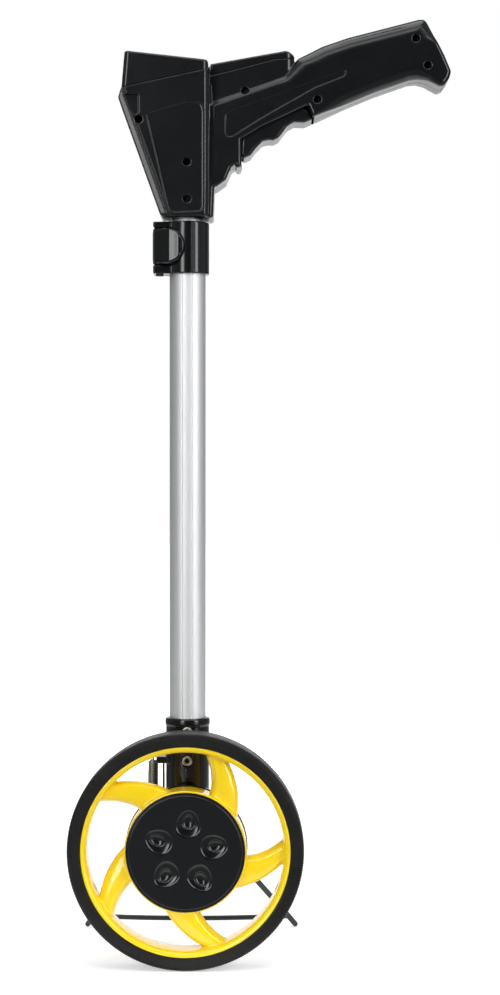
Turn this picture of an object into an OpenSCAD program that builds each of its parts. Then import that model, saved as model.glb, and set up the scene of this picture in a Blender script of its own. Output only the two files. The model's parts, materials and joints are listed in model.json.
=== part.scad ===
// Digital measuring wheel: a half-metre wheel on a telescopic pole, with a display
// head, a pistol grip and a folding wire stand.
// Origin where the tyre touches the ground, +X towards the grip, +Y towards the
// stand, +Z up. Millimetres.

/* [Wheel] */
// Distance rolled in one turn of the wheel
wheel_circumference = 500; // [490:5:510]
// Width of the tyre
tyre_w = 25; // [24:0.5:27]
// Height of the tyre's side wall above the rim
tyre_wall = 9.2; // [8:0.2:10]
// Number of spokes
spoke_count = 5; // [4:1:6]
// Angle that a spoke sweeps between hub and rim, in degrees
spoke_sweep = 22; // [10:1:26]
// Outer radius of the hub drum
drum_r = 41; // [40:0.5:42]

/* [Pole] */
// Distance from the wheel's middle plane to the pole's axis
pole_y = 38.5; // [38:0.5:42]
// Outside diameter of the outer tube
outer_tube_d = 25; // [24:0.5:25.5]
// Wall of both tubes
tube_wall = 1.2; // [1:0.1:1.4]
// Outside radius of the wheel socket and of the clamp collar
socket_r = 15; // [14.5:0.5:16]
// Height of the socket's upper rim
socket_top = 164.6; // [160:0.5:170]
// Length that the pole telescopes
pole_travel = 250; // [150:10:260]

/* [Clamp] */
// Height of the clamp collar's lower edge
clamp_bottom = 470.7; // [465:0.5:475]
// Width of the lever's paddle, along the pole
paddle_w = 25; // [22:0.5:26]

/* [Head] */
// Half the width of the display box at its top
box_half = 31; // [28:0.5:34]
// Half the width of the display box at its foot
foot_half = 19; // [18:0.5:22]
// Half the width of the battery block
block_half = 14; // [13.6:0.2:15]
// Half the width of the grip
grip_half = 16.5; // [16:0.5:18]
// Wall of the mouldings
wall = 2.6; // [2.2:0.2:2.8]

/* [Stand] */
// Half the distance between the feet
foot_x = 76.5; // [65:0.5:80]
// Distance of the feet behind the pole's axis
foot_back = 90; // [80:1:95]
// Radius of the stand's wire
wire_r = 2; // [1.8:0.1:2.2]
// Angle that the stand swings, in degrees
stand_swing = 138; // [120:1:140]

/* [Hidden] */
$fn = 96;
wheel_r = wheel_circumference / (2 * PI);
axle_z = wheel_r;
axle_r = 4;
rim_edge_r = wheel_r - tyre_wall;
rim_seat_r = rim_edge_r - 2.4;
rim_in_r = rim_edge_r - 6.4;
rim_w = tyre_w - 0.4;
seat_w = rim_w - 5.6;
tread_crown = 0.3;
tyre_shoulder = 1.4;
spoke_w_hub = 25;
spoke_w_rim = 17;
spoke_first = -0.5;
spoke_t = 15;
spoke_steps = 8;
drum_wall = 3;
drum_w = 22;
web_t = 5;
boss_r = 14.5;
cover_r = drum_r - 1;
cover_t = 1.6;
dimple_at = 19.3;
dimple_r = 7.4;
dimple_tip_r = 5.2;
dimple_deep = 0.8;

// 608 ball bearings
bearing_r = 11;
bearing_t = 7;
bearing_gap = 4;
race_out_r = 9.2;
race_in_r = 6.2;
shield_r = 6.4;
shield_t = 0.5;
ball_r = 1.45;
ball_count = 8;
magnet_r = 26;
magnet_t = 3;

disc_r = drum_r + 0.5;
disc_y = tyre_w / 2 + 0.3;
disc_t = 2.8;
boss_y = disc_y + disc_t;
boss_back = pole_y + 7.5;
screw_z = [socket_top - 28.6, socket_top - 8.6];
screw_r = 1.9;
screw_head_r = 3.5;

outer_r = outer_tube_d / 2;
outer_in_r = outer_r - tube_wall;
inner_r = outer_in_r - 0.8;
inner_in_r = inner_r - tube_wall;
bush_clear = 0.05;
groove_angle = 16.4;
outer_tube_bottom = socket_top - 60.6;
outer_tube_top = clamp_bottom + 19.3;
inner_tube_bottom = outer_tube_top - pole_travel - 67;
inner_tube_top = 556;
clamp_top = 506.5;
flange_t = 3;

lever_pin = [-19, pole_y - 6];
lever_barrel_r = 4.8;
paddle_gap = 0.4;
paddle_t = 2.9;
paddle_tip_x = -1.7;
paddle_mid = clamp_bottom + 18.8;
ear_left = -23.5;

pivot_y = pole_y + 20;
pivot_z = axle_z + 20.4;
shaft_r = 3;
hub_half = 12.6;
hub_r = 6;
hub_clear = 0.3;
ear_in = 13;
ear_t = 3.5;
ear_r = 7;
leg_root_x = 4;
leg_root = [leg_root_x, pivot_y, pivot_z];
foot = [foot_x, pole_y + foot_back, wire_r];
bar_at = 0.93;
bar_r = 1.8;
crank_r = 12;
// The crank starts half the swing before its lowest point, so the spring is as
// long at one end of the swing as at the other, and longer in between
crank_angle = 270 - stand_swing / 2;
crank_pin = [pivot_y + crank_r * cos(crank_angle), pivot_z + crank_r * sin(crank_angle)];
crank_x = -20.4;
crank_t = 2.5;
spring_x = -24.6;
lug_pin = [pivot_y, pivot_z + 35.8];
lug_pin_r = 1.6;
pin_end_x = -28.4;
coil_r = 3.1;
coil_wire_r = 0.6;
coil_turns = 14;
spring_len = norm(lug_pin - crank_pin);
spring_tilt = atan2(lug_pin[0] - crank_pin[0], lug_pin[1] - crank_pin[1]);
eye_r = 2.6;

// Route of the sensor lead, from its gland on the hub disc up to the bracket's lug
lead_r = 0.8;
lead_x = -16.4;
lug_bottom = pivot_z + 33.4;
lug_h = 4.8;
gland_z = pivot_z + 4;
gland_len = 4;
lead_route = [[19.6, 0], [23, 0.2], [27, 1.6], [30.5, 4.6], [33, 8.6], [34.2, 13], [34.5, 18], [34.5, 29.4]];

// Outlines of the head, X against Z
box_outline = [[-17.3, 507.6], [17.9, 507], [18.8, 530], [15.6, 607.1], [-44.1, 594.7], [-46.4, 588.3]];
box_cavity = [[-13, 522], [14.2, 522], [12.6, 612], [-41.6, 603], [-43, 588]];
cap_outline = [[-44.1, 594.9], [14.8, 607.2], [14.8, 611.5], [13, 613.9], [-40.4, 619.8], [-42.3, 618]];
cap_cavity = [[-44, 590], [12.4, 601], [12.4, 611.4], [-39.9, 617]];
block_outline = [[15, 570], [15, 605.3], [61.4, 617.4], [71, 617.8], [73.8, 614], [74, 600]];
lid_outline = [[15.9, 605.9], [61.4, 617.7], [73.8, 618.1], [72.6, 621.6], [68.5, 623.5], [15.9, 614.1]];
grip_outline = [
    [15, 585], [74, 617], [92.6, 627.3], [110.6, 633.5], [146.7, 642.8], [158.7, 645.9], [162.6, 645.8],
    [164.7, 643.7], [176.7, 619.7], [181.2, 609], [180, 604.6], [176.7, 599.9], [173.6, 598.3],
    [164.7, 602.9], [158.7, 604.1], [152.7, 603.5], [128.6, 595.1], [87.4, 577.9],
    [83.6, 586.1], [50.6, 570.5], [36.2, 562], [35.6, 548.9], [30.2, 542.8], [26.6, 534.4], [20.5, 529.9], [15, 528]
];
grip_cavity = [
    [19, 536], [24.5, 541], [27.5, 547], [32, 551], [33, 563.8], [50, 574], [81.5, 589.2], [90.5, 583],
    [128, 599], [152, 607.4], [160, 608], [171, 603], [176.6, 609], [161, 641], [146, 638.8],
    [110, 629.3], [92, 622], [80, 609], [70, 600], [19, 585]
];
trigger_outline = [
    [36.8, 554.8], [39.2, 549.9], [43.4, 551.8], [47, 556.6], [51.8, 561.5], [56.6, 562.4], [59, 562],
    [62.6, 563.8], [65, 566.9], [68.6, 571.7], [73.4, 574.6], [80.6, 574.3], [86, 576.6],
    [84.6, 581.6], [80, 585], [76, 584.4], [50, 572.4], [46.6, 574.4], [41.6, 574.8], [37.6, 571.4], [37.2, 564]
];
trigger_slot = [[35.6, 544], [36, 577], [50, 581], [76, 592], [86, 590.3], [88.4, 570], [60, 550]];
trigger_pin_at = [41.6, 570.6];
trigger_pin_r = 1.5;
trigger_half = 12.5;
slot_half = 13.2;
seam_tilt = 14.62;
pack_at = [18.5, 606.2];
pack_len = 46.7;
pack_deep = 11.2;
pack_half = block_half - wall + 0.2;
tray_t = 0.6;
cell_r = 5.1;
cell_len = 44.5;
top_at = [-42.4, 620];
top_tilt = 6.29;
window_x = [5, 43];
window_half = 23;
button_at = 49.5;
button_pitch = 15;
button_r = 4;
// Shell screws: X, Z and how far the wall stands from the middle plane there
shell_screw_at = [
    [-32.6, 573.7, 26], [39.8, 595.6, grip_half], [89.4, 589.3, grip_half],
    [156.9, 631.2, grip_half], [165, 612.8, grip_half]
];
tube_screw_z = [520.8, 545.6];
shell_boss_r = 3.9;
recess_r = 2.6;
recess_end = 8;
self_tap_r = 1.4;

// ---- helpers ----

// A flat outline in X and Z, thickened from y0 to y1
module slab(y0, y1) {
    translate([0, y1, 0]) rotate([90, 0, 0]) linear_extrude(y1 - y0) children();
}

// A solid turned about the wheel's axle from a profile of radius against Y
module turned() {
    translate([0, 0, axle_z]) rotate([-90, 0, 0]) rotate_extrude($fn = 180) children();
}

// A cylinder along Y between y0 and y1
module along_y(x, z, r, y0, y1) {
    translate([x, y0, z]) rotate([-90, 0, 0]) cylinder(r = r, h = y1 - y0);
}

// A cylinder along X between x0 and x1
module along_x(y, z, r, x0, x1) {
    translate([x0, y, z]) rotate([0, 90, 0]) cylinder(r = r, h = x1 - x0);
}

// A straight wire between two points
module rod(a, b, r) {
    d = b - a;
    translate(a) rotate([0, acos(d[2] / norm(d)), atan2(d[1], d[0])]) cylinder(r = r, h = norm(d));
}

// The same wire with its far end rounded
module round_rod(a, b, r) {
    d = b - a;
    reach = norm(d);
    translate(a) rotate([0, acos(d[2] / reach), atan2(d[1], d[0])]) rotate_extrude() intersection() {
        union() {
            square([r, reach]);
            translate([0, reach]) circle(r = r);
        }
        square([r + 1, reach + r + 1]);
    }
}

// A flat ring about the axle
module axle_ring(r_in, r_out, y0, y1) {
    turned() translate([r_in, y0]) square([r_out - r_in, y1 - y0]);
}

// A tube wall about the pole's axis
module pole_ring(r_in, r_out, z0, z1) {
    translate([0, pole_y, z0]) difference() {
        cylinder(r = r_out, h = z1 - z0);
        translate([0, 0, -1]) cylinder(r = r_in, h = z1 - z0 + 2);
    }
}

// A round wire swept along points, its ring carried along without twisting
module swept_wire(path, r, sides) {
    last = len(path) - 1;
    function unit(v) = v / norm(v);
    function heading(i) = unit(path[min(i + 1, last)] - path[max(min(i, last) - 1, 0)]);
    function across(v, t) = unit(v - (v * t) * t);
    ups = [for (i = 0, u = across([0.3, 0.5, 0.8], heading(0)); i <= last; i = i + 1, u = across(u, heading(i))) u];
    rings = [for (i = [0:last]) let(u = ups[i], v = cross(heading(i), u))
        for (k = [0:sides - 1]) path[i] + r * (cos(360 * k / sides) * u + sin(360 * k / sides) * v)];
    walls = [for (i = [0:last - 1], k = [0:sides - 1]) let(n = (k + 1) % sides)
        [i * sides + k, (i + 1) * sides + k, (i + 1) * sides + n, i * sides + n]];
    polyhedron(points = rings, faces = concat(
        walls, [[for (k = [0:sides - 1]) k]], [[for (k = [sides - 1:-1:0]) last * sides + k]]));
}

// The sloping top of the display cap: X along it, Z out of it
module on_top() {
    translate([top_at[0], pole_y, top_at[1]]) rotate([0, top_tilt, 0]) children();
}

// The battery pack's own axes: X along the lid's seam, Z out of the block
module on_pack() {
    translate([pack_at[0], pole_y, pack_at[1]]) rotate([0, -seam_tilt, 0]) children();
}

// ---- wheel ----

module tyre() {
    h = tyre_w / 2;
    color([0.10, 0.10, 0.10]) turned() polygon([
        [rim_edge_r, -h], [wheel_r - tyre_shoulder, -h], [wheel_r - tread_crown, -h + 1.1], [wheel_r, -h / 2],
        [wheel_r, h / 2], [wheel_r - tread_crown, h - 1.1], [wheel_r - tyre_shoulder, h], [rim_edge_r, h],
        [rim_edge_r, seat_w / 2], [rim_seat_r, seat_w / 2], [rim_seat_r, -seat_w / 2], [rim_edge_r, -seat_w / 2]
    ]);
}

// Half the spoke's angle, and the middle's angle, at a radius
function spoke_half(r) = let(f = (r - drum_r) / (rim_in_r - drum_r))
    (spoke_w_hub + (spoke_w_rim - spoke_w_hub) * f) / 2 / r * 180 / PI;
function spoke_mid(r) = spoke_first - spoke_sweep * (rim_in_r - r) / (rim_in_r - drum_r);

module spoke() {
    r0 = drum_r - 1;
    r1 = rim_in_r + 1;
    radii = [for (i = [0:spoke_steps]) r0 + (r1 - r0) * i / spoke_steps];
    lead = [for (r = radii) let(a = spoke_mid(r) - spoke_half(r)) r * [cos(a), sin(a)]];
    trail = [for (i = [spoke_steps:-1:0]) let(r = radii[i], a = spoke_mid(r) + spoke_half(r)) r * [cos(a), sin(a)]];
    translate([0, 0, axle_z]) slab(-spoke_t / 2, spoke_t / 2) polygon(concat(lead, trail));
}

module rim() {
    e = rim_w / 2;
    s = seat_w / 2;
    color([1.0, 0.84, 0.04]) union() {
        turned() polygon([
            [rim_in_r + 1.2, -e], [rim_edge_r, -e], [rim_edge_r, -s], [rim_seat_r, -s],
            [rim_seat_r, s], [rim_edge_r, s], [rim_edge_r, e], [rim_in_r + 1.2, e], [rim_in_r, e - 2], [rim_in_r, -e + 2]
        ]);
        axle_ring(drum_r - drum_wall, drum_r, -drum_w / 2, drum_w / 2);
        axle_ring(boss_r - 1, drum_r - drum_wall + 1, -web_t / 2, web_t / 2);
        axle_ring(bearing_r, boss_r, -bearing_t - 2.2, bearing_t + 2.2);
        for (i = [0:spoke_count - 1]) translate([0, 0, axle_z]) rotate([0, -360 * i / spoke_count, 0])
            translate([0, 0, -axle_z]) spoke();
    }
}

module dimple() {
    along_y(0, dimple_at, dimple_r, -drum_w, -drum_w / 2 - cover_t + dimple_deep);
    along_y(0, dimple_at + 4.6, dimple_tip_r, -drum_w, -drum_w / 2 - cover_t + dimple_deep);
}

module hub_cover() {
    front = -drum_w / 2 - cover_t;
    color([0.05, 0.05, 0.06]) difference() {
        union() {
            axle_ring(0, cover_r, front + 0.4, -drum_w / 2);
            axle_ring(0, cover_r - 0.6, front, -drum_w / 2);
            axle_ring(drum_r - drum_wall - 1.7, drum_r - drum_wall, -drum_w / 2 - 0.2, -drum_w / 2 + 5);
        }
        for (i = [0:4]) translate([0, 0, axle_z]) rotate([0, -72 * i + 5.6, 0]) dimple();
    }
}

module bearing_pair() {
    for (y = [-bearing_gap / 2 - bearing_t, bearing_gap / 2]) translate([0, y, 0]) children();
}

module bearing_outer_rings() {
    color([0.75, 0.75, 0.77]) bearing_pair() union() {
        axle_ring(race_out_r, bearing_r, 0, bearing_t);
        axle_ring(shield_r, race_out_r, 0.4, 0.4 + shield_t);
        axle_ring(shield_r, race_out_r, bearing_t - 0.4 - shield_t, bearing_t - 0.4);
    }
}

module bearing_inner_rings() {
    color([0.75, 0.75, 0.77]) bearing_pair() axle_ring(axle_r, race_in_r, 0, bearing_t);
}

module bearing_balls() {
    at = (race_out_r + race_in_r) / 2;
    color([0.85, 0.85, 0.87]) bearing_pair() for (i = [0:ball_count - 1]) translate([0, 0, axle_z])
        rotate([0, 360 * i / ball_count, 0]) translate([at, bearing_t / 2, 0]) sphere(r = ball_r, $fn = 48);
}

module magnet_ring() {
    color([0.25, 0.24, 0.24]) axle_ring(magnet_r - 6, magnet_r, web_t / 2, web_t / 2 + magnet_t);
}

// ---- axle and bracket ----

module axle() {
    front = -bearing_gap / 2 - bearing_t;
    color([0.7, 0.7, 0.72]) union() {
        along_y(0, axle_z, 6, front - 1.4, front);
        along_y(0, axle_z, axle_r, front - 0.1, boss_back + 8);
    }
}

module bearing_spacer() {
    color([0.7, 0.7, 0.72]) axle_ring(axle_r, race_in_r - 0.2, -bearing_gap / 2, bearing_gap / 2);
}

module axle_sleeve() {
    color([0.7, 0.7, 0.72]) axle_ring(axle_r, race_in_r - 0.2, bearing_gap / 2 + bearing_t, disc_y);
}

module axle_nut() {
    color([0.72, 0.72, 0.7]) union() {
        axle_ring(axle_r, 8, boss_back, boss_back + 1.5);
        difference() {
            translate([0, boss_back + 1.4, axle_z]) rotate([-90, 0, 0]) cylinder(r = 7.4, h = 5.4, $fn = 6);
            along_y(0, axle_z, axle_r, boss_back, boss_back + 8);
        }
    }
}

module wheel_bracket() {
    block_top = outer_tube_bottom + 2;
    color([0.06, 0.06, 0.065]) difference() {
        union() {
            translate([0, pole_y, pivot_z - 8]) cylinder(r = socket_r, h = socket_top - pivot_z + 7);
            translate([0, pole_y, socket_top - 1]) cylinder(r1 = socket_r, r2 = socket_r - 1, h = 1);
            along_y(0, axle_z, 16, boss_y, boss_back);
            translate([-13, boss_y + 3, axle_z]) cube([26, boss_back - boss_y - 3, block_top - axle_z]);
            // Rear yoke for the stand's shaft
            for (x = [-ear_in - ear_t, ear_in]) {
                along_x(pivot_y, pivot_z, ear_r, x, x + ear_t);
                translate([x, pole_y, pivot_z - ear_r]) cube([ear_t, pivot_y - pole_y, 2 * ear_r]);
            }
            translate([-ear_in - 1, pole_y, pivot_z - ear_r]) cube([2 * ear_in + 2, 10.5, 2 * ear_r]);
            // Side lug with the spring's pin
            translate([-21.5, 31, lug_bottom]) cube([21.5 - outer_r - 0.5, pivot_y + 3 - 31, lug_h]);
            along_x(lug_pin[0], lug_pin[1], lug_pin_r, pin_end_x, -21.4);
        }
        translate([0, pole_y, outer_tube_bottom]) cylinder(r = outer_r, h = socket_top);
        along_y(0, axle_z, axle_r, 0, 2 * pole_y);
        along_x(pivot_y, pivot_z, shaft_r + bush_clear, -ear_in - ear_t - 1, ear_in + ear_t + 1);
        along_x(pivot_y, pivot_z, hub_r + hub_clear, -ear_in, ear_in);
        for (z = screw_z) along_y(0, z, screw_r, pole_y - socket_r - 2, pole_y);
        for (z = screw_z) along_y(0, z, screw_head_r + 0.4, pole_y - socket_r - 2, pole_y - socket_r + 0.8);
    }
}

module socket_screws() {
    seat = pole_y - socket_r + 0.8;
    color([0.8, 0.78, 0.72]) for (z = screw_z) difference() {
        union() {
            along_y(0, z, screw_head_r, seat - 1.9, seat);
            along_y(0, z, screw_r, seat - 0.1, pole_y - outer_in_r + 2);
        }
        translate([0, seat - 2.4, z]) rotate([-90, 0, 0]) cylinder(r = 1.4, h = 1.7, $fn = 6);
    }
}

module sensor_disc() {
    color([0.06, 0.06, 0.065]) difference() {
        union() {
            axle_ring(axle_r, disc_r - 0.5, disc_y, boss_y);
            axle_ring(disc_r - 2, disc_r, disc_y + 0.5, boss_y - 0.4);
        }
        along_y(lead_x, gland_z, 1.2, disc_y - 1, boss_y + 1);
    }
}

module sensor_board() {
    color([0.10, 0.35, 0.18]) union() {
        translate([-11, disc_y - 1.2, axle_z + 16]) cube([22, 1.2, 16]);
        for (x = [-6, 3]) translate([x, disc_y - 4.4, axle_z + 21]) cube([3, 3.3, 4]);
    }
}

module cable_gland() {
    color([0.08, 0.08, 0.08]) difference() {
        along_y(lead_x, gland_z, 2.3, boss_y, boss_y + gland_len);
        along_y(lead_x, gland_z, 1, boss_y - 1, boss_y + gland_len + 1);
    }
}

module sensor_lead() {
    path = [for (p = lead_route) [lead_x, p[0], gland_z + p[1]]];
    color([0.04, 0.04, 0.04]) swept_wire(path, lead_r, 8);
}

// ---- pole ----

module outer_tube() {
    color([0.80, 0.81, 0.83]) difference() {
        pole_ring(outer_in_r, outer_r, outer_tube_bottom, outer_tube_top);
        for (a = [-groove_angle, groove_angle]) translate([0, pole_y, 0]) rotate([0, 0, a])
            translate([-0.3, -outer_r - 0.5, socket_top - 70]) cube([0.6, 0.85, 500]);
        for (z = screw_z) along_y(0, z, screw_r, pole_y - outer_r - 2, pole_y);
    }
}

module inner_tube() {
    color([0.80, 0.81, 0.83]) difference() {
        pole_ring(inner_in_r, inner_r, inner_tube_bottom, inner_tube_top);
        for (z = tube_screw_z) along_y(0, z, self_tap_r, 0, pole_y);
    }
}

module guide_bush() {
    color([0.12, 0.12, 0.12]) union() {
        pole_ring(inner_in_r - 1.6, inner_in_r, inner_tube_bottom - 1, inner_tube_bottom + 22);
        pole_ring(inner_in_r - 1.6, outer_in_r - bush_clear, inner_tube_bottom - 12, inner_tube_bottom);
    }
}

module tube_bush() {
    color([0.12, 0.12, 0.12]) union() {
        pole_ring(inner_r + bush_clear, outer_in_r, outer_tube_top - 28, outer_tube_top + 0.1);
        pole_ring(inner_r + bush_clear, outer_r, outer_tube_top, outer_tube_top + flange_t);
    }
}

// ---- clamp ----

module clamp_collar() {
    ear_low = paddle_mid - paddle_w / 2 - 0.5;
    ear_high = paddle_mid + paddle_w / 2 + 0.5;
    front = lever_pin[1] - 4.5;
    color([0.05, 0.05, 0.06]) difference() {
        union() {
            translate([0, pole_y, clamp_bottom]) cylinder(r = socket_r, h = clamp_top - clamp_bottom);
            // Rear jaw, and the two ears of the front jaw that carry the lever
            translate([ear_left, pole_y + 1, clamp_bottom]) cube([12, 5.5, clamp_top - clamp_bottom]);
            translate([ear_left, front, clamp_bottom]) cube([12, pole_y - 1 - front, ear_low - clamp_bottom]);
            translate([ear_left, front, ear_high]) cube([12, pole_y - 1 - front, clamp_top - ear_high]);
        }
        translate([0, pole_y, clamp_bottom - 1]) cylinder(r = outer_r, h = outer_tube_top + flange_t + 1 - clamp_bottom);
        translate([0, pole_y, clamp_bottom]) cylinder(r = inner_r + 0.4, h = 60);
        translate([ear_left - 1, pole_y - 1, clamp_bottom - 1]) cube([20, 2, 60]);
        translate([lever_pin[0], lever_pin[1], clamp_bottom - 1]) cylinder(r = 1.6, h = 60);
    }
}

module clamp_pin() {
    color([0.7, 0.7, 0.7]) translate([lever_pin[0], lever_pin[1], 0]) union() {
        translate([0, 0, clamp_bottom - 1.4]) cylinder(r = 2.6, h = 1.4);
        translate([0, 0, clamp_bottom - 0.2]) cylinder(r = 1.6, h = clamp_top - clamp_bottom);
    }
}

module clamp_lever() {
    r0 = socket_r + paddle_gap;
    nose = paddle_w / 2;
    color([0.07, 0.07, 0.08]) difference() {
        union() {
            translate([lever_pin[0], lever_pin[1], paddle_mid - nose]) cylinder(r = lever_barrel_r, h = paddle_w);
            intersection() {
                pole_ring(r0, r0 + paddle_t, paddle_mid - nose, paddle_mid + nose);
                translate([0, 0, paddle_mid]) slab(0, pole_y - 6) union() {
                    translate([paddle_tip_x - nose, 0]) circle(r = nose);
                    translate([-26, -nose]) square([26 + paddle_tip_x - nose, paddle_w]);
                }
            }
        }
        translate([0, pole_y, paddle_mid - nose - 1]) cylinder(r = r0 - 0.2, h = paddle_w + 2);
        translate([lever_pin[0], lever_pin[1], 0]) cylinder(r = 1.6 + bush_clear, h = 600);
    }
}

// ---- stand ----

module legs(grow = 0) {
    for (s = [-1, 1]) rod([s * leg_root[0], leg_root[1], leg_root[2]], [s * foot[0], foot[1], foot[2]], wire_r + grow);
}

module stand_hub() {
    color([0.05, 0.05, 0.05]) difference() {
        along_x(pivot_y, pivot_z, hub_r, -hub_half, hub_half);
        along_x(pivot_y, pivot_z, shaft_r, -hub_half - 1, hub_half + 1);
        legs();
    }
}

module stand_shaft() {
    color([0.6, 0.6, 0.6]) difference() {
        along_x(pivot_y, pivot_z, shaft_r, crank_x, ear_in + ear_t + 4);
        legs();
        translate([ear_in + ear_t + 0.6, 0, 0]) rotate([0, 90, 0]) translate([-pivot_z, pivot_y, 0]) difference() {
            cylinder(r = shaft_r + 1, h = 1);
            translate([0, 0, -1]) cylinder(r = shaft_r - 0.6, h = 3);
        }
    }
}

module shaft_clip() {
    color([0.3, 0.3, 0.3]) translate([ear_in + ear_t + 0.7, pivot_y, pivot_z]) rotate([0, 90, 0]) difference() {
        cylinder(r = 5, h = 0.8);
        translate([0, 0, -1]) cylinder(r = shaft_r - 0.6, h = 3);
        translate([-1.6, 0, -1]) cube([3.2, 8, 3]);
    }
}

module stand_crank() {
    pin = [crank_x, crank_pin[0], crank_pin[1]];
    color([0.6, 0.6, 0.6]) difference() {
        union() {
            along_x(pivot_y, pivot_z, 5.4, crank_x, crank_x + crank_t);
            along_x(crank_pin[0], crank_pin[1], 3.4, crank_x, crank_x + crank_t);
            translate([crank_x, pivot_y, pivot_z]) rotate([crank_angle, 0, 0]) translate([0, 0, -3.4])
                cube([crank_t, crank_r, 6.8]);
            along_x(crank_pin[0], crank_pin[1], lug_pin_r, pin_end_x, crank_x + 0.1);
        }
        along_x(pivot_y, pivot_z, shaft_r, crank_x - 1, crank_x + crank_t + 1);
    }
}

module stand_leg(s) {
    color([0.05, 0.05, 0.05])
        round_rod([s * leg_root[0], leg_root[1], leg_root[2]], [s * foot[0], foot[1], foot[2]], wire_r);
}

module stand_leg_left() { stand_leg(-1); }

module stand_leg_right() { stand_leg(1); }

module stand_crossbar() {
    end = leg_root + bar_at * (foot - leg_root);
    color([0.05, 0.05, 0.05]) difference() {
        along_x(end[1], end[2], bar_r, -end[0], end[0]);
        legs();
    }
}

// Tension spring between the lug's pin and the crank's pin, in its own axes: Z up
// from the lower eye to the upper, both eyes open by 60 degrees
module stand_spring() {
    turn = 360 * coil_turns;
    eye = [for (a = [-300:25:-25]) a];
    low_eye = [for (a = eye) [0, -eye_r * sin(a), eye_r * cos(a)]];
    coil = [for (a = [0:30:turn]) let(r = coil_r * min(1, a / 180, (turn - a) / 180))
        [r * cos(a - 90), r * sin(a - 90), eye_r + (spring_len - 2 * eye_r) * a / turn]];
    high_eye = [for (a = [25:25:300]) [0, eye_r * sin(a), spring_len - eye_r * cos(a)]];
    color([0.35, 0.35, 0.3]) translate([spring_x, crank_pin[0], crank_pin[1]]) rotate([-spring_tilt, 0, 0])
        swept_wire(concat(low_eye, coil, high_eye), coil_wire_r, 6);
}

// ---- head ----

// Half the display box, its side leaning in towards the foot
module box_half(outline, shrink) {
    lean = atan2(box_half - foot_half, 92);
    difference() {
        slab(0, pole_y) polygon(outline);
        translate([-80, pole_y - foot_half + shrink, 508]) rotate([lean, 0, 0]) translate([0, -60, -40])
            cube([160, 60, 200]);
    }
}

module shell_bosses() {
    for (p = shell_screw_at) along_y(p[0], p[1], shell_boss_r, pole_y - p[2] + 1, pole_y);
}

// One half of the head, as the front half; the back half is its mirror image
module head_half(front) {
    difference() {
        union() {
            difference() {
                union() {
                    box_half(box_outline, 0);
                    slab(pole_y - block_half, pole_y) polygon(block_outline);
                    slab(pole_y - grip_half, pole_y) polygon(grip_outline);
                }
                box_half(box_cavity, wall);
                slab(pole_y - grip_half + wall, pole_y + 1) polygon(grip_cavity);
            }
            translate([0, pole_y, 508]) intersection() {
                cylinder(r = 14, h = 46);
                translate([-20, -20, 0]) cube([40, 20, 46]);
            }
            shell_bosses();
            along_y(trigger_pin_at[0], trigger_pin_at[1], 3.2, pole_y - grip_half + 1, pole_y - slot_half);
        }
        slab(pole_y - slot_half, pole_y + 1) polygon(trigger_slot);
        on_pack() translate([0, -pack_half, -pack_deep]) cube([pack_len, 2 * pack_half, 40]);
        translate([0, pole_y, 500]) cylinder(r = inner_r, h = inner_tube_top - 500);
        along_y(trigger_pin_at[0], trigger_pin_at[1], trigger_pin_r, pole_y - grip_half + 1, pole_y + 1);
        for (p = shell_screw_at) along_y(p[0], p[1], self_tap_r, pole_y - recess_end - 1, pole_y + 1);
        if (front) {
            for (p = shell_screw_at) along_y(p[0], p[1], recess_r, 0, pole_y - recess_end);
            for (z = tube_screw_z) along_y(0, z, recess_r, 0, pole_y - 12.4);
            for (z = tube_screw_z) along_y(0, z, self_tap_r, 0, pole_y);
        }
    }
}

module head_shell_front() { color([0.09, 0.09, 0.095]) head_half(true); }

module head_shell_back() {
    color([0.09, 0.09, 0.095]) translate([0, pole_y, 0]) mirror([0, 1, 0]) translate([0, -pole_y, 0]) head_half(false);
}

module shell_screws() {
    color([0.5, 0.5, 0.5]) for (p = shell_screw_at) union() {
        along_y(p[0], p[1], recess_r - 0.2, pole_y - recess_end - 2, pole_y - recess_end);
        along_y(p[0], p[1], self_tap_r, pole_y - recess_end - 0.1, pole_y + recess_end);
    }
}

module tube_screws() {
    color([0.6, 0.6, 0.6]) for (z = tube_screw_z) union() {
        along_y(0, z, recess_r - 0.2, pole_y - 14.4, pole_y - 12.4);
        along_y(0, z, self_tap_r, pole_y - 12.5, pole_y - inner_in_r + 2);
    }
}

module display_cap() {
    w = box_half - 0.5;
    color([0.10, 0.10, 0.105]) difference() {
        slab(pole_y - w, pole_y + w) polygon(cap_outline);
        slab(pole_y - w + wall, pole_y + w - wall) polygon(cap_cavity);
        on_top() translate([window_x[0], -window_half, -1.6]) cube([window_x[1] - window_x[0], 2 * window_half, 5]);
        on_top() translate([window_x[0] + 2, 2 - window_half, -6])
            cube([window_x[1] - window_x[0] - 4, 2 * window_half - 4, 9]);
        on_top() for (i = [-1:1]) translate([button_at, i * button_pitch, -8]) cylinder(r = button_r + 0.3, h = 10);
    }
}

module display_window() {
    color([0.25, 0.27, 0.28]) on_top() translate([window_x[0], -window_half, -1.6])
        cube([window_x[1] - window_x[0], 2 * window_half, 1.5]);
}

module display_panel() {
    color([0.62, 0.68, 0.58]) on_top() translate([window_x[0] + 1, 1 - window_half, -6.4])
        cube([window_x[1] - window_x[0] - 2, 2 * window_half - 2, 2.4]);
}

module display_board() {
    color([0.10, 0.35, 0.18]) on_top() translate([4.5, -26, -10]) cube([49, 52, 1.4]);
}

module button_switches() {
    color([0.2, 0.2, 0.2]) on_top() for (i = [-1:1])
        translate([button_at - 3, i * button_pitch - 3, -8.6]) cube([6, 6, 1.6]);
}

module button(i) {
    on_top() translate([button_at, i * button_pitch, 0]) union() {
        translate([0, 0, -5.4]) cylinder(r = button_r, h = 6.4);
        translate([0, 0, -4.2]) cylinder(r = button_r + 1.1, h = 0.9);
    }
}

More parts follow.
